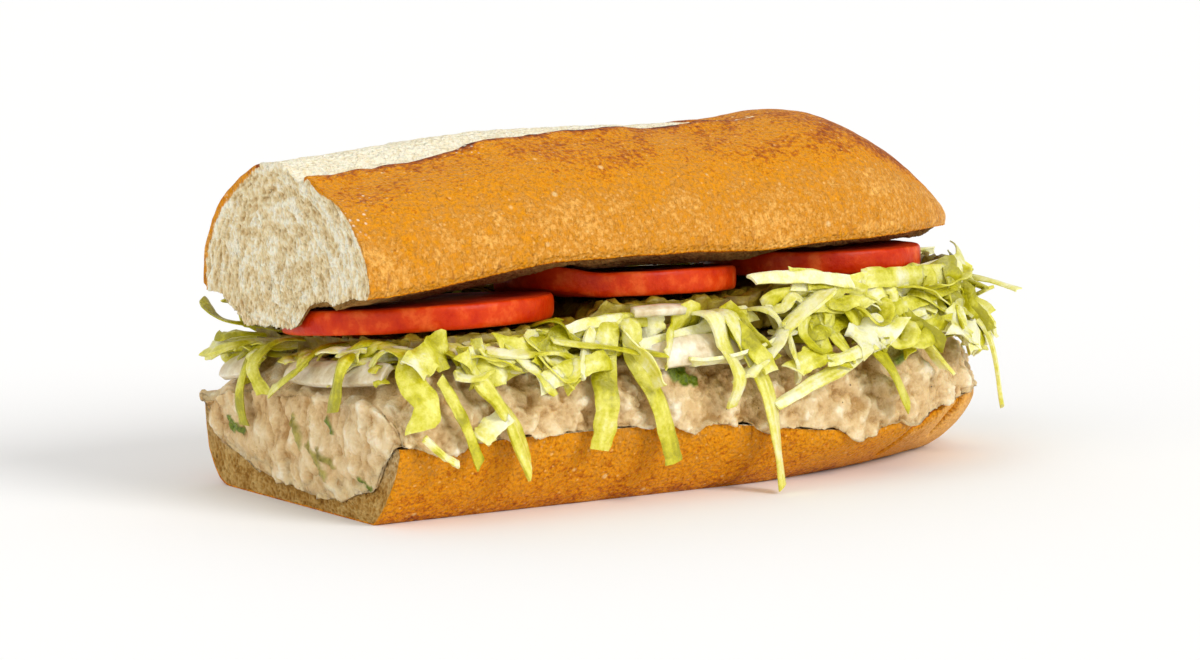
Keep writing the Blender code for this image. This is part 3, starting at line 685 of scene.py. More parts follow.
def lower_loaf(finish):
    """Lower loaf: golden flank and flat base round a pale crumb."""
    shape = skin(lower_loaf_form, *LOAF_GRID)
    refine(shape, lambda u, s, t: u == 0.0, 2)
    refine(shape, lambda u, s, t: t == 0.0 and abs(2.0 * s - 1.0) > FLANK_START - 0.01, 1)

    def masks(point, place):
        u, s, t = place
        reach = abs(2.0 * s - 1.0)
        crumb = 0.0
        if u == 0.0:
            crumb = ramp(min(t * 22.0, (1.0 - reach) * 60.0), 0.4, 1.2)
        elif t > 0.0:
            crumb = ramp(t, 0.86, 0.98) if reach > 0.99 or u == 1.0 else 1.0
        x, _, z = point
        side = ramp(z, 0.5, 6.0)
        toast = mix(0.62, 0.49, side) - 0.48 * ramp(x, 36.0, 72.0) - 0.05 * ramp(z, 8.0, 17.0)
        # Painted shade: the crust is darker in the folds round the nose.
        toast = toast + 0.06 * grain(point, 14.0) + 0.9 * nose_folds(point)
        pores = point + 1.2 * noise.noise_vector(point / 6.0)
        # Painted shade: the hollows of the bubbles take the darker crumb colour.
        walls = 0.4 * bubbles(pores, 1.5) + 0.25 * bubbles(point, 0.8) + 0.35 * (0.6 + grain(point, 5.0))
        # The crumb at the cut end takes the darker soaked colours, more so towards the bottom of the cut
        # face: soaked crumb, partly painted shade.
        soak = ramp(-x, 90.0, 94.0) * (0.75 + 0.25 * ramp(-z, -16.0, -6.0))
        return {"crumb": crumb, "toast": toast, "pore": walls, "soak": soak, "flour": 0.0}

    def relief(point, values):
        inside = values["crumb"]
        crust = 0.2 * grain(point, 6.0) + 0.09 * grain(Vector((point.x * 2.0, point.y, point.z * 0.6)), 1.8)
        crust = crust - FOLD_DEPTH * nose_folds(point)
        if point.z < 0.3:
            crust = max(0.0, crust) * -0.4
        return mix(crust, 0.5 * (values["pore"] - 0.7), inside)

    sculpt(shape, masks, relief)
    return settle("lower_loaf", shape, "crust", finish, "bun_bottom")


def crown_hull(u):
    """Station and half width of the upper loaf at u, from the cut end to the nose."""
    return loaf_outline(u, CROWN_CUT_X, CROWN_SHOULDER_X, CROWN_NOSE_X, CROWN_HALF_WIDTH,
                        CROWN_NOSE_ROUNDNESS)


def crown_rise(x):
    """Height of the upper loaf above its lower edge at x."""
    reach = clamp((x - CROWN_FALL_X) / (CROWN_NOSE_X - CROWN_FALL_X))
    nose = (1.0 - reach ** CROWN_FALL_POWER) ** CROWN_FALL_ROUNDNESS
    swell = CROWN_SWELL * hump(x, CROWN_SWELL_X, CROWN_SWELL_LENGTH)
    swell = swell - CROWN_END_DROP * fall(x, CROWN_CUT_X, -78.0)
    return (CROWN_RISE + swell) * nose


def crown_to_world(x, aside, above):
    """Turn a point of the upper loaf's own section into the sandwich's frame."""
    lift = CROWN_BASE_LIFT * ramp(x, CROWN_CUT_X, -45.0) - CROWN_SAG * hump(x, 6.0, 14.0)
    lift = lift + CROWN_FAR_LIFT * fall(-aside, -10.0, 35.0) * fall(x, CROWN_CUT_X, -55.0)
    lift = lift + CROWN_NOSE_LIFT * ramp(x, 30.0, 75.0)
    y = CROWN_CENTRE_Y + aside * math.cos(CROWN_ROLL) + above * math.sin(CROWN_ROLL)
    z = CROWN_BASE_HEIGHT + lift - aside * math.sin(CROWN_ROLL) + above * math.cos(CROWN_ROLL)
    return x, y, z


def slash_near_edge(x):
    """Where the torn near edge of the slash runs, across the loaf."""
    edge = SLASH_NEAR - SLASH_STEP * fall(x, -26.0, -14.0) + 1.5 * lump(x, 0.0, 0.0, 24.0)
    return edge + 0.5 * lump(x, 3.0, 0.0, 5.0)


def slash_far_edge(x):
    """Where the far edge of the slash runs: it closes in on the near edge towards the nose."""
    edge = SLASH_FAR + 1.2 * lump(x, 9.0, 0.0, 18.0) + 0.5 * lump(x, 15.0, 0.0, 4.0)
    return mix(edge, slash_near_edge(x), ramp(x, SLASH_END_X - 42.0, SLASH_END_X - 2.0))


def slash_open(x):
    """1 where the slash is open, fading to 0 where it closes."""
    return fall(x, SLASH_END_X - 26.0, SLASH_END_X)


def slash_relief(x, aside):
    """Height added to the dome round the slash: sunken crumb between two torn crust edges."""
    near_edge = slash_near_edge(x)
    ear = NEAR_EAR * (0.6 + lump(x, 5.0, 0.0, 17.0)) * hump(aside, near_edge - 1.0, 3.0)
    far_ear = FAR_EAR * hump(aside, slash_far_edge(x) + 1.0, 3.0)
    hollow = SLASH_DEPTH * ramp(aside, near_edge, near_edge + 1.5)
    hollow = hollow * fall(aside, near_edge + 4.0, near_edge + 12.0)
    near_flat = NEAR_FLAT * hump(aside, -16.0, 9.0)
    return slash_open(x) * (ear + far_ear - hollow) - near_flat * fall(x, -85.0, -40.0)


def torn_droop(aside):
    """How far the torn crumb hangs below the upper loaf's edge at the cut end."""
    body = 6.4 * ramp(aside, -14.0, -3.0) * fall(aside, 15.0, 30.0)
    return body + 1.6 * ramp(aside, -32.0, -20.0) * fall(aside, 24.0, 34.0)


def tomato_height(number, x, y):
    """Height of the middle of a tomato slice; the second one is lifted by the first."""
    centre_x, centre_y, centre_z, *_, rise_x, rise_y = TOMATOES[number]
    height = centre_z + rise_x * (x - centre_x) + rise_y * (y - centre_y)
    if number == 1:
        height = height + TOMATO_LIFT * ramp(-x, -TOMATO_LIFT_X - 6.0, -TOMATO_LIFT_X + 7.0)
    return height


def tomato_reach(number, x, y):
    """How far out of a slice's middle a point lies, 1 being the slice's edge."""
    centre_x, centre_y, _, long_half, short_half, _, _ = TOMATOES[number]
    east, north = x - centre_x, y - centre_y
    along = east * math.cos(TOMATO_TURN) + north * math.sin(TOMATO_TURN)
    aside = north * math.cos(TOMATO_TURN) - east * math.sin(TOMATO_TURN)
    return math.hypot(along / long_half, aside / short_half)


def beyond_tomato(number, x, y, margin):
    """How many millimetres a point lies outside a slice's edge and its margin."""
    short_half = TOMATOES[number][4]
    return max(0.0, (tomato_reach(number, x, y) - 1.0) * short_half - margin)


def under_crown(x, y, lip_z, aside, width):
    """Height of the upper loaf's crumb underside: it sags onto the tomato and clears its edge."""
    inward = fall(abs(aside) / max(width, 1.0), 0.35, 0.92) * ramp(width, 6.0, 24.0)
    rest_z = lip_z - CRUMB_SAG * inward
    for number in range(len(TOMATOES)):
        top = tomato_height(number, x, y) + TOMATO_THICKNESS / 2.0 + 0.8
        rest_z = max(rest_z, top - SLICE_SLOPE * beyond_tomato(number, x, y, 5.0))
    return rest_z


def crown_row(step, s, t):
    """A point of the upper loaf at a row: rows 0 to 2 are the torn flap at the cut end."""
    x, width = crown_hull(max(step - 2.0, 0.0) / (CROWN_STEPS - 2.0))
    half_turn = math.pi * s
    aside = -width * math.cos(half_turn)
    edge = math.copysign(abs(math.cos(half_turn)) ** 1.05, -math.cos(half_turn))
    high_aside = width * edge
    above = crown_rise(x) * max(math.sin(half_turn), 0.0) ** 0.98
    above = above + slash_relief(x, high_aside) * math.sin(half_turn)
    low_aside = 0.97 * aside
    _, low_y, lip_z = crown_to_world(x, low_aside, 0.0)
    low_z = under_crown(x, low_y, lip_z, low_aside, width)
    if step <= 1.0:
        low_z = lip_z - torn_droop(low_aside) + 0.8 * lump(0.0, low_aside, 0.0, 4.0) * math.sin(half_turn)
    edge_height = 1.6 * (1.0 - math.sin(half_turn) * ramp(width, 0.0, 8.0))
    _, high_y, high_z = crown_to_world(x, high_aside, above + edge_height)
    y = mix(low_y, high_y, t)
    z = mix(low_z, high_z, t)
    if 0.5 < step < 2.5:
        x = CROWN_CUT_X + 1.3 + 3.5 * ramp(low_aside, 12.0, 20.0) * (1.0 - t)
    if step < 0.5:
        x = x + 0.35 * math.sin(math.pi * clamp(t))
    return x, y, z


def row_at(u, last):
    """Row of a body at u: the rows at its cut end are packed into a short first part."""
    if u < FLAP_SHARE:
        return FLAP_ROWS * u / FLAP_SHARE
    return mix(FLAP_ROWS, last, (u - FLAP_SHARE) / (1.0 - FLAP_SHARE))


def form_of_rows(row, last):
    """A form from row(step, s, t), straight between the rows at the cut end."""
    def form(u, s, t):
        step = row_at(u, last)
        if step >= FLAP_ROWS:
            return row(step, s, t)
        first = math.floor(step)
        start = row(float(first), s, t)
        end = row(float(first + 1), s, t)
        return tuple(mix(a, b, step - first) for a, b in zip(start, end))
    return form


def upper_loaf(finish):
    """Upper loaf: browned dome with a torn slash, wrinkled flank and open crumb at the cut end."""
    shape = skin(form_of_rows(crown_row, CROWN_STEPS), *CROWN_GRID)
    refine(shape, lambda u, s, t: u == 0.0, 2)
    refine(shape, lambda u, s, t: t == 1.0 and 0.36 < s < 0.62 and u < 0.8, 1)

    def masks(point, place):
        u, s, t = place
        x, y, z = point
        height = math.sin(math.pi * s)
        station = max(row_at(u, CROWN_STEPS) - 2.0, 0.0) / (CROWN_STEPS - 2.0)
        aside = -crown_hull(station)[1] * math.cos(math.pi * s)
        near_edge = slash_near_edge(x)
        far_edge = slash_far_edge(x)
        torn = ramp(aside, near_edge - 0.2, near_edge + 0.8)
        torn = torn * fall(aside, far_edge - 0.6, far_edge + 0.4)
        torn = torn * fall(x, SLASH_END_X - 8.0, SLASH_END_X - 2.0)
        crumb = fall(t, 0.06, 0.3)
        if u == 0.0:
            depth = (crown_row(0.0, s, 1.0)[2] - crown_row(0.0, s, 0.0)[2]) * (1.0 - t)
            soft = CRUST_THICKNESS * mix(1.0, 3.5, ramp(y, 5.0, 25.0))
            crumb = ramp(min(depth, 1.6 * CROWN_HALF_WIDTH * min(s, 1.0 - s)), 0.3 * CRUST_THICKNESS, soft)
            crumb = max(crumb, ramp(torn, 0.2, 0.9))
        if t == 1.0:
            crumb = torn
        elif u > 0.0 and min(s, 1.0 - s) < 0.16:
            crumb = 0.0
        # Darker towards the top of the dome, paler towards the lip.
        toast = 0.26 + 0.28 * ramp(height, 0.3, 0.8)
        # Painted light: the top of the nose is browner on the near side and paler on the far side, which
        # falls in shade.
        brown = mix(0.4, 0.2, ramp(y, -5.0, 15.0))
        toast = toast + (brown * ramp(height, 0.35, 0.8) - 0.1) * ramp(x, 20.0, 66.0)
        # The crust is darker on the lower lip and the underside: partly toasted crust, partly painted shade.
        if t < 0.5 and u > 0.0:
            toast = toast + 0.45 * fall(t, 0.0, 0.3)
        scorch = mix(0.12, 0.3, ramp(x, -82.0, -66.0)) + 0.3 * ramp(grain(point, 4.0), -0.1, 0.35)
        toast = toast + scorch * hump(aside, near_edge - 0.8, 1.5) * slash_open(x)
        toast = toast + 0.25 * hump(aside, far_edge + 0.9, 1.2) * slash_open(x)
        toast = toast + 0.1 * grain(point, 16.0) + 0.08 * grain(point, 5.0)
        about = math.atan2(z - 45.0, y + 2.0)
        rings = Vector((math.hypot(y + 2.0, z - 45.0), 11.0 * about, 0.5 * x))
        if t == 1.0 or u > 0.0:
            rings = point
        rings = rings + 1.2 * noise.noise_vector(point / 6.0)
        # Painted shade: the hollows of the bubbles take the darker crumb colour.
        walls = 0.38 * bubbles(rings, 1.5) + 0.3 * bubbles(rings, 0.7) + 0.12
        walls = walls + 0.3 * ramp(grain(rings, 3.5), -0.3, 0.3)
        if t == 1.0:
            walls = mix(walls, 0.72 + 0.28 * walls, torn)
        # Painted shade: the crumb on the underside is pushed towards its darkest pore colour.
        if t == 0.0 and u > 0.0:
            walls = 0.4 * walls
        flour = 0.9 * ramp(grain(point + Vector((9.0, 0.0, 0.0)), 9.0), 0.12, 0.4) * ramp(height, 0.35, 0.6)
        flour = flour * fall(x, -60.0, -30.0) * (1.0 if y < 0.0 else 0.4)
        # Painted shade: the underside crumb takes the darker soaked colours.
        soak = 0.85 * fall(t, 0.0, 0.04) if u > 0.0 else 0.0
        return {"crumb": crumb, "toast": toast, "pore": walls, "soak": soak, "flour": flour}

    def relief(point, values):
        low = fall(point.z, 58.0, 70.0)
        crust = 0.25 * grain(point, 9.0) + 0.1 * grain(point, 2.6)
        crust = crust + 0.12 * low * grain(Vector((point.x * 1.6, point.y * 1.6, point.z * 0.7)), 2.2)
        return mix(crust, 0.85 * (values["pore"] - 0.7) + 0.35 * grain(point, 4.0), values["crumb"])

    sculpt(shape, masks, relief)
    return settle("upper_loaf", shape, "crust", finish, "bun_top")


def tuna_top(x, y):
    """Height of the tuna salad: lumpy, lower at the cut end and towards the far side."""
    end_fall = TUNA_END_FALL * fall(x, -99.0, -85.0)
    nose_fall = 3.0 * ramp(x, 62.0, NOSE_X)
    lumps = TUNA_LUMP * lump(x, y, 7.0, TUNA_LUMP_SIZE)
    return TUNA_HEIGHT - SETTLE * y - end_fall - nose_fall + lumps


def smear_height(y):
    """How far down the cut face the tuna salad is smeared."""
    return 4.0 + 6.0 * ramp(abs(y + 4.0), 14.0, 40.0) + 1.5 * lump(0.0, y, 3.0, 9.0)


def rim_droop(x):
    """How far the tuna salad hangs over the near rim, in lobes."""
    lobes = 3.0 * hump(x, 31.0, 6.0) + 2.5 * hump(x, 48.0, 5.0) + 3.0 * hump(x, -84.0, 5.0)
    lobes = lobes + 2.2 * hump(x, -18.0, 5.0) + 1.8 * hump(x, 4.0, 4.0)
    return lobes + 0.8 * (1.0 + lump(x, 0.0, 0.0, 5.0))


def tuna_row(step, s, t):
    """A point of the tuna salad at a row: rows 0 to 2 are the smear down the cut face."""
    v = 2.0 * s - 1.0
    side = math.copysign(1.0, v)
    x, width = hull(max(step - 2.0, 0.0) / LOAF_STEPS)
    low_y, low_z = trough(x, width, v)
    low_z = low_z + 0.7
    if abs(v) > 0.93:
        share = ramp(abs(v), 0.93, 1.0) * ramp(step, 0.0, 1.0)
        low_y = mix(low_y, side * (width + 1.3), share)
        low_z = low_z - (rim_droop(x) if v < 0.0 else rim_droop(-x)) * share * ramp(x, -95.0, -90.0)
    if step <= 2.0:
        x = CUT_X - GAP
    if step <= 1.0:
        low_z = mix(low_z, min(low_z, smear_height(low_y)), fall(abs(v), 0.75, 1.0))
    if step < 0.5:
        depth = mix(0.25, 1.0, ramp(t, 0.0, 0.3)) * (1.0 - 0.8 * ramp(abs(v), 0.85, 1.0))
        x = CUT_X - GAP - (TUNA_BEYOND_CUT - GAP) * depth
    high_y = v * max(width - 4.5, 0.4 * width)
    high_z = tuna_top(x, high_y) - 4.0 * abs(v) ** 8
    bow = math.sin(math.pi * t) * abs(v) ** 6
    y = mix(low_y, high_y, t) + side * TUNA_BULGE * bow
    z = mix(low_z, high_z, t)
    y = y + side * 1.1 * bow * lump(x, side * 40.0, z, 8.0)
    x = x - 4.0 * t * ramp(x, 60.0, NOSE_X)
    return x, y, z


HERBS = (
    (2.3, (-20.9, -46.5, 29.8), (-18.8, -46.5, 28.4)),
    (1.3, (-16.6, -46.5, 27.4), (-15.8, -46.5, 27)),
    (1.1, (-98, 26.3, 14.5), (-98, 28, 14.9)),
    (0.8, (-98, 28.2, 16.6), (-98, 22.6, 14.1)),
    (0.7, (-98, -15.1, 21.6), (-98, -17.7, 19.2)),
    (0.8, (-98, -28.3, 9.4), (-98, -31.7, 8.1)),
    (0.9, (18.6, -46, 29.6), (19.4, -46, 29.2)),
)
CELERY = (
    (1.1, (-98, -1, 20.3), (-98, -4.5, 14.4)),
    (1.2, (-98, -7.6, 14.8), (-98, -14.5, 9.1)),
    (1, (-98, -12.4, 14), (-98, -18.4, 11.5)),
    (4.4, (43, -42, 30.6), (43.8, -42, 31.4)),
)


def tuna_salad(finish):
    """Flaked tuna in dressing: rounded flakes of three sizes, smoothed where the dressing is thick."""
    shape = skin(form_of_rows(tuna_row, LOAF_STEPS + 2), *TUNA_GRID)
    refine(shape, lambda u, s, t: s in (0.0, 1.0) or u in (0.0, 1.0), 2)

    def spots(point, places):
        ragged = 0.7 * grain(point, 1.6)
        found = 0.0
        for radius, start, end in places:
            on_end = start[0] < CUT_X
            level = Vector((start[0], point.y, point.z)) if on_end else Vector((point.x, start[1], point.z))
            if (point.x < CUT_X + 5.0) if on_end else (point.y < -33.0):
                reach = line_distance(level, Vector(start), Vector(end)) + ragged
                found = max(found, fall(reach, 0.75 * radius, 1.1 * radius))
        return found

    def masks(point, place):
        end_face = ramp(-point.x, 93.0, 96.5)
        pressed = Vector((point.x, point.y, point.z * mix(1.0, 0.5, end_face)))
        big = flakes(pressed + 1.8 * noise.noise_vector(point / 5.0), 7.0)
        lean = noise.noise_vector(point / 9.0)
        middle = flakes(pressed + lean * point.dot(lean) * 0.02 + 1.0 * noise.noise_vector(point / 2.2), 3.2)
        small = flakes(point + 0.4 * noise.noise_vector(point), 1.2)
        thick = ramp(grain(point, 6.0), -0.15, 0.3)
        swell = 0.5 + 0.9 * grain(point, 4.2)
        folds = 0.5 + 0.9 * grain(pressed + 1.5 * noise.noise_vector(point / 3.0), 2.1)
        height = 0.26 * big + mix(0.18, 0.05, thick) * middle + mix(0.1, 0.0, thick) * small
        height = height + 0.1 * thick + 0.34 * swell + 0.24 * folds
        tone = 0.62 + 0.9 * grain(point + Vector((40.0, 0.0, 0.0)), 5.0)
        celery = spots(point, CELERY)
        rind = fall(abs(math.hypot(point.x - 43.4, point.z - 31.0) - 4.4), 0.5, 1.1)
        rind = rind * ramp(point.x, 42.0, 44.0) * ramp(-point.y, 34.0, 36.0)
        # The height also sets the colour: painted shade in the creases, painted highlight on the tops.
        height = 0.58 + 1.4 * (height - 0.58)
        return {"height": height, "tone": tone, "celery": celery, "herb": max(spots(point, HERBS), rind)}

    def relief(point, values):
        rise = 2.2 * (values["height"] - 0.62)
        return rise + 0.5 * values["herb"] + 0.6 * values["celery"]

    sculpt(shape, masks, relief)
    return settle("tuna", shape, "tuna_salad", finish, "tuna_salad")


def spline(points, u):
    """A smooth curve through the given points."""
    spans = len(points) - 1
    place = min(u * spans, spans - 1e-6)
    first = int(place)
    share = place - first
    before = points[max(first - 1, 0)]
    start = points[first]
    end = points[first + 1]
    after = points[min(first + 2, spans)]
    curve = (2.0 * before - 5.0 * start + 4.0 * end - after) * share
    cube = (3.0 * start - before - 3.0 * end + after) * share ** 2
    return 0.5 * (2.0 * start + share * ((end - before) + curve + cube))


def curve_frame(points, u, facing, step):
    """The curve's direction at u, and the facing turned square to it."""
    ahead = (spline(points, min(u + step, 1.0)) - spline(points, max(u - step, 0.0))).normalized()
    return ahead, (facing - ahead * facing.dot(ahead)).normalized()


def clearance(z):
    """How far outside the rim's outline a strand hangs at height z."""
    return mix(4.2, -4.5, ramp(z, 27.0, 38.0))


def near_side(x, z, extra=0.0):
    """A point on the sandwich's near side where a strand can hang."""
    out = half_width(min(x, NOSE_X - 1.0)) + clearance(z) + extra * ramp(z, 22.0, 33.0)
    return Vector((x, -out, z))


def strip(shape, draw, points, width, facing, twist, columns, rows, rib=0.3, cup=0.1, ruffle=0.05, rough=1.0):
    """A curved strip of leaf: nearly flat, with cut ends, and paler towards one of them."""
    layer = shape.verts.layers.float["rib"]
    phase = draw.uniform(0.0, 6.28)
    waves = draw.uniform(1.5, 3.5)
    slant = draw.uniform(-0.7, 0.7)
    swing = draw.uniform(0.0, 50.0)
    fade = draw.uniform(-0.35, 0.35)
    grid = bmesh.ops.create_grid(shape, x_segments=columns, y_segments=rows, size=0.5)
    frames = []
    flat = facing
    for step in range(columns + 1):
        u = step / columns
        ahead, flat = curve_frame(points, u, flat, 0.03)
        frames.append((spline(points, u), ahead, flat))
    for vert in grid["verts"]:
        u = vert.co.x + 0.5
        q = 2.0 * vert.co.y
        centre, ahead, flat = frames[round(u * columns)]
        side = ahead.cross(flat)
        turn = twist * (u - 0.3)
        across = side * math.cos(turn) + flat * math.sin(turn)
        normal = flat * math.cos(turn) - side * math.sin(turn)
        taper = 0.78 + 0.22 * math.sin(math.pi * clamp(0.12 + 0.76 * u)) ** 0.5
        ragged = 0.22 * rough * lump(swing, 3.0 * u, q, 1.0) + 0.2 * lump(swing, 11.0 * u, 2.0 * q, 1.0)
        half = 0.5 * width * taper * (1.0 + ragged)
        wave = math.sin(waves * 6.28 * u + phase + 1.5 * q)
        lift = cup * width * (0.5 - q * q) + ruffle * width * q * q * wave
        lift = lift + 0.35 * rough * lump(swing, 2.5 * u, q, 1.0)
        slide = slant * width * 0.5 * q * ramp(abs(u - 0.5), 0.3, 0.5)
        vert.co = centre + across * half * q + normal * lift + ahead * slide
        vein = 0.1 * math.sin(9.0 * q + phase) + 0.12 * (1.0 - abs(q))
        vert[layer] = clamp(rib + fade * (2.0 * u - 1.0) + 0.5 * lump(swing, 5.0 * u, 1.0, 1.0) + vein)


def hero_strands():
    """The long strands that hang over the sides: points, width, facing, twist and paleness."""
    down_near = Vector((0.0, -1.0, 1.3))
    near = (
        (4.6, 0.3, 2.2, 0.55, ((-6, 42), (-2.8, 33), (0.6, 24), (3.6, 13), (5.4, 1.6))),
        (4.6, 1.2, 0.2, 0.35, ((-38, 41.4), (-41.2, 33), (-43.4, 25), (-44.6, 19), (-45.6, 14.4))),
        (4.6, 0.4, 0.2, 0.5, ((-32.5, 41.6), (-32.2, 33), (-29.4, 24.2), (-26.6, 14.9), (-25.2, 9.6))),
        (4.8, 0.4, 0.2, 0.6, ((-77, 38.5), (-73.3, 31), (-68.8, 23), (-63.6, 11.9))),
        (2.6, 0.4, 0.2, 0.3, ((-84.5, 33), (-82, 25.5), (-79.5, 20.5), (-76.7, 13.9))),
        (4.8, 0.1, 3, 0.9, ((20.8, 45), (11, 38.9), (1.2, 32.5), (-7.6, 28))),
        (5, 0.3, 4.8, 0.8, ((-12, 42.5), (-9.2, 35), (-8.4, 28), (-8.6, 21.5))),
        (7, 0.3, 0, 0.7, ((6.5, 42), (10, 38), (11, 32.5), (10, 27))),
        (7.4, 0.5, 0.6, 0.45, ((30, 41), (33.5, 34), (36.5, 27), (42, 19))),
        (3.6, 0.3, 0.2, 0.8, ((36, 42.5), (43, 38.5), (50.5, 32), (57, 24))),
        (4.6, 0.2, 2.6, 0.75, ((-70, 38.2), (-60, 37.2), (-52, 36.4), (-47, 33.4))),
        (4.6, 0.4, 0, 0.3, ((-54, 41), (-54.5, 38), (-52.5, 34), (-51.5, 29))),
        (6.5, -0.6, 0.2, 0.3, ((53, 42), (59, 38), (64, 33.5), (69, 28))),
        (5, 0.3, 0.2, 0.3, ((-89, 37.6), (-91.5, 34), (-90.5, 28), (-92.5, 22.5))),
        (4.4, 0.1, 0.4, 0.95, ((-25.5, 43.6), (-25.6, 41.8), (-25.4, 39.8), (-25.2, 37.8))),
        (2.8, 0.3, 1.6, 0.85, ((40.3, 36.3), (26.7, 30.1), (14.2, 25.2), (2.9, 20.6))),
        (4.4, 0.8, 2, 0.35, ((15.1, 39.6), (16, 35.5), (17.5, 32.4), (19.4, 36), (21.1, 41.2))),
        (3.4, 0.6, 2.2, 0.5, ((22.4, 40.4), (23, 36), (24.2, 31.8), (25.6, 30))),
        (6, 0.5, 1.2, 0.45, ((50, 43.6), (57.5, 40.6), (64.2, 36.4), (62.7, 31.6))),
        (4.6, 0.7, 1.8, 0.4, ((7.4, 28.4), (12, 30.2), (16.8, 31), (22.6, 29.7))),
        (4.4, 0.4, 0.6, 0.1, ((-52, 43.4), (-49.9, 41.3), (-47.2, 38.2), (-41.3, 35))),
        (1.8, 0.4, 0.8, 0.8, ((-91, 21.2), (-88, 18.4), (-85, 16), (-82.3, 14.9))),
        (4.4, 0.2, 0.4, 0.85, ((-77.4, 19.6), (-75.4, 21.2), (-73, 22.8), (-70.1, 24.6))),
        (3, 0.3, 1.4, 0.6, ((-31, 34.8), (-22.1, 37.1), (-13.8, 38.1), (-7.6, 36.9))),
    )
    for width, twist, extra, rib, places in near:
        points = [near_side(x, z, extra) for x, z in places]
        if places[0][1] > 37.5:
            points = [Vector((places[0][0], -0.62 * half_width(places[0][0]), 39.5))] + points
        yield points, width, down_near, twist, rib
    up = Vector((0.0, 0.0, 1.0))
    outward = Vector((-1.0, 0.0, 1.3))
    loose = (
        (6, up, 0.5, 0.5,
         ((52, -12, 38), (64, -20, 42.5), (74, -24, 42.5), (83, -25, 39.8))),
        (4, up, 0.4, 0.9,
         ((56, -14, 37.5), (68, -27, 38), (76, -34, 30), (80, -35, 12.5))),
        (3.6, up, 0.6, 0.8,
         ((58, 0, 37), (74, -4, 39), (86, -8, 33), (90.5, -10, 22))),
        (6, up, 0.5, 0.3,
         ((54, 12, 36.6), (68, 16, 40), (79, 17, 36), (86.5, 15, 28))),
        (4.5, up, 0.5, 0.2,
         ((-82, 22, 35.5), (-91, 27, 38), (-97.5, 31, 39.6), (-99, 37, 43.5))),
        (4.5, up, 0.6, 0.6,
         ((-80, 21, 34.5), (-92, 24, 35), (-99.6, 25, 34), (-100.6, 33, 32))),
        (4.2, outward, 0.5, 0.3,
         ((-82, 12, 35.4), (-93, 13, 36), (-100.2, 12, 31), (-100.6, 6, 25))),
        (4, outward, 0.9, 0.2,
         ((-82, -6, 36.2), (-93, -8, 37), (-100.6, -7, 31.5), (-100.4, 4, 26))),
        (3.8, outward, 0.3, 0.2,
         ((-85, 18, 34.5), (-94, 20, 33.5), (-99.6, 19.5, 24.5), (-99.8, 17, 16.5))),
        (5, outward, 0.4, 0.3,
         ((-80, -16, 37), (-91, -20, 37.4), (-99.8, -26, 34.5), (-100.9, -24, 24.5))),
    )
    for width, facing, twist, rib, places in loose:
        yield [Vector(place) for place in places], width, facing, twist, rib


def outline(q):
    """The rim's near, nose and far sides as q goes from 0 to 1, with the outward direction."""
    def spot(place):
        u = 2.0 * place if place < 0.5 else 2.0 - 2.0 * place
        x, width = hull(clamp(u))
        return Vector((x, -width if place < 0.5 else width, 0.0))
    ahead = spot(clamp(q + 0.01)) - spot(clamp(q - 0.01))
    return spot(q), Vector((ahead.y, -ahead.x, 0.0)).normalized()


def lip_height(x, y):
    """Height of the upper loaf's underside near its lip."""
    return crown_to_world(x, y - CROWN_CENTRE_Y, 0.0)[2]


def is_clear(points, width):
    """Whether a strip stays out of the tomato, the upper loaf and the floor."""
    for index in range(9):
        point = spline(points, 0.2 + 0.8 * index / 8.0)
        for number in range(len(TOMATOES)):
            outside = beyond_tomato(number, point.x, point.y, 0.3 * width)
            apart = abs(point.z - tomato_height(number, point.x, point.y))
            if outside == 0.0 and apart < TOMATO_THICKNESS / 2.0 + 0.7:
                return False
        if point.z > lip_height(point.x, point.y) - 1.5 and abs(point.y + 2.5) < CROWN_HALF_WIDTH + 2.0:
            return False
        if point.z < 2.0 + 0.5 * width:
            return False
    return True


def side_top(x, y):
    """Highest place of the lettuce at the side, under the tomato slices."""
    near = 40.2 + 2.6 * ramp(x, -52.0, -36.0) + 1.6 * ramp(x, -20.0, 0.0) + 3.2 * ramp(x, 6.0, 16.0)
    return near - 4.6 * ramp(y, -20.0, 30.0) - 3.0 * ramp(x, 70.0, NOSE_X)


def side_low(x, y):
    """Lowest place where shreds lie at the side: just over the tuna salad, lower towards the nose."""
    return side_top(x, y) - 7.5 - 3.5 * ramp(x, -50.0, -20.0) - 5.0 * ramp(x, 0.0, 25.0)


def side_share(x, y):
    """How much of the side the shreds cover: less where the tuna salad shows up to the tomato."""
    if y > -20.0:
        return 1.0
    return 0.75 - 0.5 * ramp(x, -66.0, -56.0) + 0.4 * ramp(x, -26.0, -14.0) + 0.35 * ramp(x, 0.0, 14.0)


def side_point(spot, out, along, run, height, layer):
    """A place at the side of the heap, run millimetres along it from a spot on the outline."""
    point = spot + along * run
    limit = half_width(clamp(point.x, CUT_X, NOSE_X - 1.0))
    if abs(spot.y) > 12.0 and abs(point.y) > limit:
        point.y = math.copysign(limit, point.y)
    settled = height + SETTLE * spot.y
    point = point + out * (clearance(settled) + layer)
    point.x = clamp(point.x, CUT_X - 4.0, NOSE_X + 3.0)
    point.z = height
    return point


def pick(shred, draw, wanted, tries):
    """Up to wanted shreds that fit, from so many tries for each."""
    made = 0
    for _ in range(wanted * tries):
        found = shred(draw)
        if found:
            made += 1
            yield found
        if made == wanted:
            return


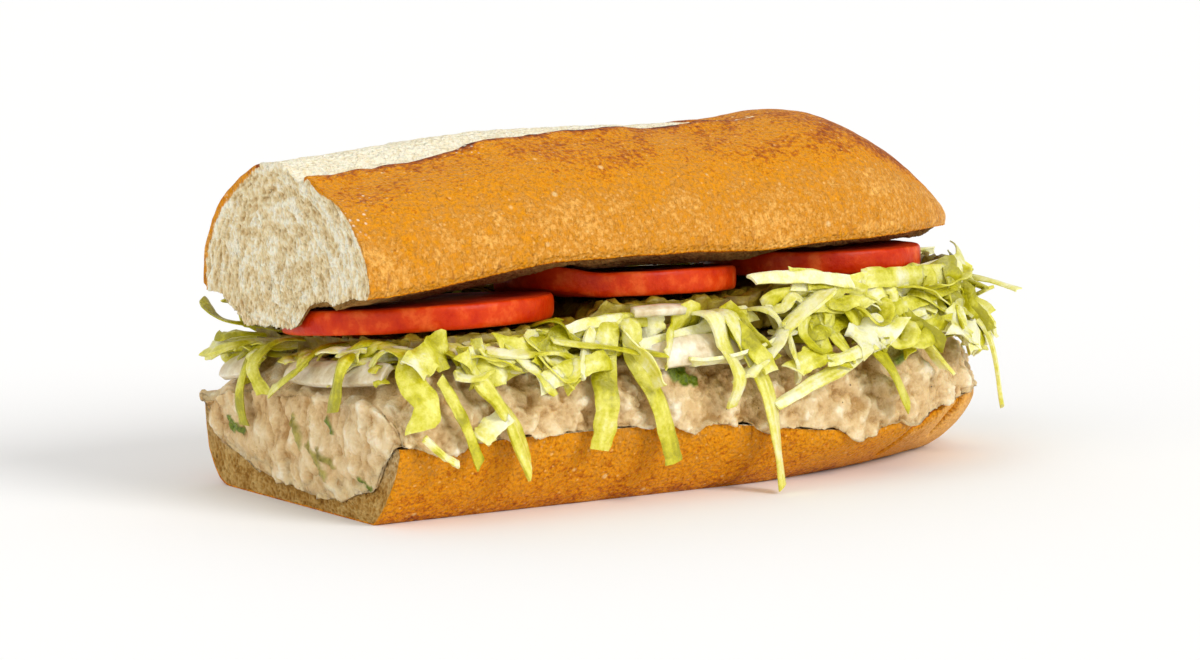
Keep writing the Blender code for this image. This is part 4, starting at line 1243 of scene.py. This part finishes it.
def side_shred(draw):
    """A shred at the side: it lies along it, hangs over it, or curls out and back."""
    spot, out = outline(clamp(draw.uniform(0.0, 1.0), 0.012, 0.988))
    along = Vector((-out.y, out.x, 0.0)) * draw.choice((-1.0, 1.0))
    top = side_top(spot.x, spot.y)
    low = side_low(spot.x, spot.y)
    start = draw.uniform(low, top)
    layer = draw.uniform(-1.5, 2.2)
    if draw.uniform(0.0, 1.0) > side_share(spot.x, spot.y) or spot.x < CUT_X + 6.0:
        return None
    style = draw.choice(("lie", "lie", "lie", "hang", "hang", "curl", "leaf"))
    width = draw.uniform(3.0, 5.8)
    rough = 1.0
    inner = spot * 0.84 + Vector((0.0, 0.0, start - draw.uniform(0.0, 2.0)))
    if style == "lie":
        length = draw.uniform(12.0, 32.0)
        tilt = draw.uniform(-0.3, 0.3) * length
        bend = draw.uniform(-2.0, 2.0)
        steps = [(share, tilt * share + bend * math.sin(math.pi * share))
                 for share in (0.0, 0.33, 0.66, 1.0)]
        points = [inner] if draw.uniform(0.0, 1.0) < 0.5 else []
    elif style == "hang":
        length = draw.uniform(2.0, 12.0)
        start = draw.uniform(mix(low, top, 0.5), top)
        drop = draw.uniform(5.0, 13.0)
        steps = [(share, -drop * share) for share in (0.0, 0.4, 0.7, 1.0)]
        points = [inner]
    elif style == "curl":
        length = draw.uniform(5.0, 9.0)
        arch = draw.uniform(-5.0, 5.0)
        steps = [(share, arch * math.sin(math.pi * share)) for share in (0.0, 0.35, 0.65, 1.0)]
        layer = layer + 1.0
        points = [inner]
    else:
        length = draw.uniform(6.0, 12.0)
        width = draw.uniform(6.0, 9.5)
        rough = 2.2
        steps = [(share, draw.uniform(-2.0, 2.0)) for share in (0.0, 0.5, 1.0)]
        points = []
    for share, rise in steps:
        wander = layer + draw.uniform(-0.7, 0.7)
        points.append(side_point(spot, out, along, length * share, start + rise, wander))
    if style == "curl":
        points.append((spot + along * length) * 0.84 + Vector((0.0, 0.0, start)))
    if min(point.x for point in points) > CUT_X + 1.0 and is_clear(points, width):
        facing = out + Vector((0.0, 0.0, draw.uniform(0.1, 0.9)))
        return points, width, facing, draw.uniform(-0.7, 0.7), rough
    return None


def end_shred(draw):
    """A shred that sticks out of the cut end, between the tuna salad and the upper loaf."""
    y = draw.uniform(-36.0, 36.0)
    z = draw.uniform(31.5, 37.0) - 0.06 * y
    side = Vector((0.0, draw.choice((-1.0, 1.0)), 0.0))
    push = draw.uniform(7.0, 13.0)
    swing = draw.uniform(3.0, 12.0)
    sink = draw.choice((0.0, 1.0, 4.0, 7.0))
    points = [Vector((-84.0, y, z))]
    for share in (0.4, 0.7, 1.0):
        height = z + draw.uniform(-1.0, 1.2) - sink * share ** 2
        reach = push * math.sin(0.5 * math.pi * min(1.0, 1.25 * share))
        points.append(Vector((-84.0 - reach, y, height)) + side * swing * share)
    width = draw.uniform(2.0, 3.8)
    if is_clear(points, width):
        return points, width, Vector((-0.8, 0.0, 1.0)), draw.uniform(-0.8, 0.8)
    return None


def core_top(x, y):
    """Top of the lettuce core: just under the tomato slices, uneven between them."""
    height = 45.0 - SETTLE * y + 1.6 * lump(x, y, 30.0, 9.0)
    for number in range(len(TOMATOES)):
        bottom = tomato_height(number, x, y) - TOMATO_THICKNESS / 2.0 - 1.0
        height = min(height, bottom + SLICE_SLOPE * beyond_tomato(number, x, y, 6.0))
    return height


def ledge_shred(draw):
    """A shred that lies on top of the heap behind the tomato slices."""
    x = draw.uniform(CUT_X + 6.0, 82.0)
    y = draw.uniform(mix(16.0, -8.0, ramp(x, 60.0, 74.0)), 38.0) * half_width(x) / HALF_WIDTH
    length = draw.uniform(10.0, 22.0)
    lean = draw.uniform(-0.6, 0.6)
    points = []
    for share in (-0.5, -0.17, 0.17, 0.5):
        place_x = x + length * share
        place_y = y + length * lean * share
        height = core_top(place_x, place_y) + draw.uniform(0.2, 1.8)
        points.append(Vector((place_x, place_y, height)))
    width = draw.uniform(3.0, 5.5)
    if is_clear(points, width):
        return points, width, Vector((0.0, 0.4, 1.0)), draw.uniform(-0.5, 0.5)
    return None


def core_form(u, s, t):
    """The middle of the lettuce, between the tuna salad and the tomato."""
    x, width = hull(0.04 + 0.9 * u)
    v = 2.0 * s - 1.0
    y = v * CORE_WIDTH * width * (1.0 + 0.05 * lump(x, v, 0.0, 8.0))
    low = tuna_top(x, y) + 0.4
    high = max(core_top(x, y), low + 1.0)
    return x, y, mix(low, high, t)


def new_strips():
    """An empty shape for strips, with their paleness layer."""
    shape = bmesh.new()
    shape.verts.layers.float.new("rib")
    return shape


def thicken(shape, thickness):
    """Give every strip both faces and closed edges."""
    result = bmesh.ops.extrude_face_region(shape, geom=shape.faces[:], use_keep_orig=True)
    shape.normal_update()
    for part in result["geom"]:
        if isinstance(part, bmesh.types.BMVert):
            part.co = part.co + part.normal * thickness
    bmesh.ops.recalc_face_normals(shape, faces=shape.faces)
    for edge in shape.edges:
        edge.smooth = len(edge.link_faces) == 2 and edge.calc_face_angle(0.0) < LEAF_EDGE_ANGLE
    return shape


LEAF_SHADES = (
    (0.0, 162, 156, 2),
    (0.3, 202, 196, 26),
    (0.6, 230, 224, 104),
    (1.0, 250, 246, 200),
)
# Darker than the leaf's colours: painted shade inside the packed heap.
CORE_SHADES = (
    (0.0, 116, 90, 8),
    (0.5, 162, 142, 26),
    (1.0, 208, 192, 88),
)


def lettuce():
    """Shredded lettuce: a packed core, leafy strips and paler ribs round it."""
    leaf = leaf_finish("lettuce_leaf", LEAF_SHADES, 0.32, 1.2)
    shade = leaf_finish("lettuce_core", CORE_SHADES, 0.5, 1.0)
    core = skin(core_form, *CORE_GRID)

    def masks(point, _place):
        return {"rib": 0.35 + 0.5 * grain(point, 3.0)}

    def relief(point, _values):
        return 1.6 * (flakes(point, 5.0) - 0.5) + 0.5 * grain(point, 1.5)

    sculpt(core, masks, relief)
    settle("lettuce_core", core, "lettuce", shade, "lettuce_shreds")
    draw = random.Random(LETTUCE_SEED)
    leaves = new_strips()
    ribs = new_strips()
    for points, width, facing, twist, rib in hero_strands():
        target = ribs if rib > 0.55 else leaves
        wide = 1.2 * width if points[-1].x > CUT_X + 2.0 and facing.y < 0.0 else 0.8 * width
        strip(target, draw, points, wide, facing, 0.5 * twist, 34, 6, rib=rib, rough=1.5)
    for points, width, facing, twist, rough in pick(side_shred, draw, SIDE_SHREDS, 12):
        rib = draw.choice((0.1, 0.35, 0.5, 0.65, 0.8, 1.0))
        if rib > 0.7 and rough < 2.0:
            strip(ribs, draw, points, 0.8 * width, facing, twist, 16, 4, rib=rib, cup=0.06, ruffle=0.02)
        else:
            strip(leaves, draw, points, width, facing, twist, 18, 5, rib=rib, cup=0.12, ruffle=0.08 * rough,
                  rough=rough)
    for points, width, facing, twist in pick(end_shred, draw, END_SHREDS, 6):
        strip(leaves, draw, points, width, facing, twist, 16, 5, rib=draw.uniform(0.2, 0.9), cup=0.12)
    ledge_draw = random.Random(LEDGE_SEED)
    for points, width, facing, twist in pick(ledge_shred, ledge_draw, LEDGE_SHREDS, 8):
        strip(leaves, draw, points, width, facing, twist, 16, 5, rib=draw.uniform(0.1, 0.9), cup=0.12)
    settle("lettuce_leaves", thicken(leaves, LEAF_THICKNESS), "lettuce", leaf, "lettuce_shreds")
    settle("lettuce_ribs", thicken(ribs, RIB_THICKNESS), "lettuce", leaf, "lettuce_shreds")


def onions(finish):
    """Four cut slices of onion, where they show on the tuna salad."""
    for index, (width, facing, places) in enumerate(ONIONS):
        points = [Vector(place) for place in places]

        def form(u, s, t, points=points, width=width, facing=Vector(facing)):
            ahead, flat = curve_frame(points, u, facing, 0.02)
            side = ahead.cross(flat)
            taper = 0.45 + 0.55 * math.sin(math.pi * clamp(0.08 + 0.84 * u)) ** 0.6
            crown = 0.5 * (1.0 - (2.0 * s - 1.0) ** 2)
            rise = (t - 0.5) * ONION_THICKNESS + crown - 0.2
            return spline(points, u) + side * (s - 0.5) * width * taper + flat * rise

        shape = skin(form, *ONION_GRID)
        settle(f"onion_slice_{index + 1}", shape, "onion", finish, f"onion_{index + 1}")


def tomatoes(finish):
    """Three thick tomato slices with rounded skin at the rim."""
    half = TOMATO_THICKNESS / 2.0
    flat_part = [(TOMATO_FLAT * step / 22.0, 1.0) for step in range(23)]
    rim = []
    for step in range(1, 13):
        turn = math.pi / 2.0 * step / 12.0
        out = TOMATO_FLAT + (1.0 - TOMATO_FLAT) * math.sin(turn) ** 0.7
        rim.append((out, math.cos(turn) ** 0.6))
    upper = flat_part + rim[:-1]
    profile = [(out, -height) for out, height in upper] + [(1.0, 0.0)] + upper[::-1]
    for number, (centre_x, centre_y, _, long_half, short_half, _, _) in enumerate(TOMATOES):
        shape = bmesh.new()
        out_layer = shape.verts.layers.float.new("out")
        rim_layer = shape.verts.layers.float.new("rim")
        verts = [shape.verts.new((out, 0.0, height * half)) for out, height in profile]
        edges = [shape.edges.new(pair) for pair in zip(verts, verts[1:])]
        bmesh.ops.spin(shape, geom=verts + edges, angle=2.0 * math.pi, steps=TOMATO_SPOKES,
                       use_merge=True, axis=(0, 0, 1), cent=(0, 0, 0))
        bmesh.ops.remove_doubles(shape, verts=shape.verts, dist=1e-5)
        for vert in shape.verts:
            around = math.atan2(vert.co.y, vert.co.x)
            reach = math.hypot(vert.co.x, vert.co.y)
            vert[out_layer] = reach
            vert[rim_layer] = ramp(reach, 0.965, 0.975)
            out = reach * (1.0 + 0.012 * math.sin(3.0 * around + number))
            along = out * long_half * math.cos(around)
            aside = out * short_half * math.sin(around)
            x = centre_x + along * math.cos(TOMATO_TURN) - aside * math.sin(TOMATO_TURN)
            y = centre_y + along * math.sin(TOMATO_TURN) + aside * math.cos(TOMATO_TURN)
            pockets = 0.35 * hump(reach, 0.6, 0.16) * ramp(math.cos(5.0 * around + number), -0.2, 0.6)
            waves = 0.15 * lump(x, y, number * 9.0, 6.0) * ramp(reach, 0.0, 0.3)
            level = vert.co.z * (1.0 - pockets * 0.35) + waves
            vert.co = Vector((x, y, tomato_height(number, x, y) + level))
        bmesh.ops.recalc_face_normals(shape, faces=shape.faces)
        settle(f"tomato_slice_{number + 1}", shape, "tomato", finish, f"tomato_{number + 1}")


def toward(azimuth, elevation):
    """The direction from the sandwich to a camera or light."""
    level = math.cos(elevation)
    return Vector((math.sin(azimuth) * level, -math.cos(azimuth) * level, math.sin(elevation)))


def studio():
    """Pale floor, soft light and the camera."""
    shape = bmesh.new()
    bmesh.ops.create_grid(shape, x_segments=8, y_segments=8, size=FLOOR_SIZE)
    finish, _, shader = material("floor", 0.9, specular=0.1)
    shader.inputs["Base Color"].default_value = (0.96, 0.96, 0.96, 1.0)
    floor = solid("floor", shape, finish)
    for name, azimuth, elevation, spread, power in LAMPS:
        lamp = bpy.data.lights.new(name, "SUN")
        lamp.energy = power
        lamp.angle = math.radians(spread)
        light = add_object(name, lamp)
        away = toward(math.radians(azimuth), math.radians(elevation))
        light.rotation_euler = away.to_track_quat("Z", "Y").to_euler()
    world = bpy.data.worlds.new("studio")
    world.use_nodes = True
    sky = world.node_tree.nodes["Background"]
    sky.inputs["Color"].default_value = (1.0, 0.99, 0.97, 1.0)
    sky.inputs["Strength"].default_value = 0.6
    bpy.context.scene.world = world
    bpy.context.scene.view_settings.view_transform = "Standard"
    lens = bpy.data.cameras.new("camera")
    lens.lens = CAMERA_LENS
    lens.sensor_width = 36.0
    camera = add_object("camera", lens)
    back = toward(CAMERA_AZIMUTH, CAMERA_ELEVATION)
    camera.location = CAMERA_AIM + back * CAMERA_DISTANCE
    camera.rotation_euler = back.to_track_quat("Z", "Y").to_euler()
    bpy.context.scene.camera = camera


studio()
crust_and_crumb = bread()
lower_loaf(crust_and_crumb)
tuna_salad(tuna_finish())
onions(onion_finish())
lettuce()
tomatoes(tomato_finish())
upper_loaf(crust_and_crumb)
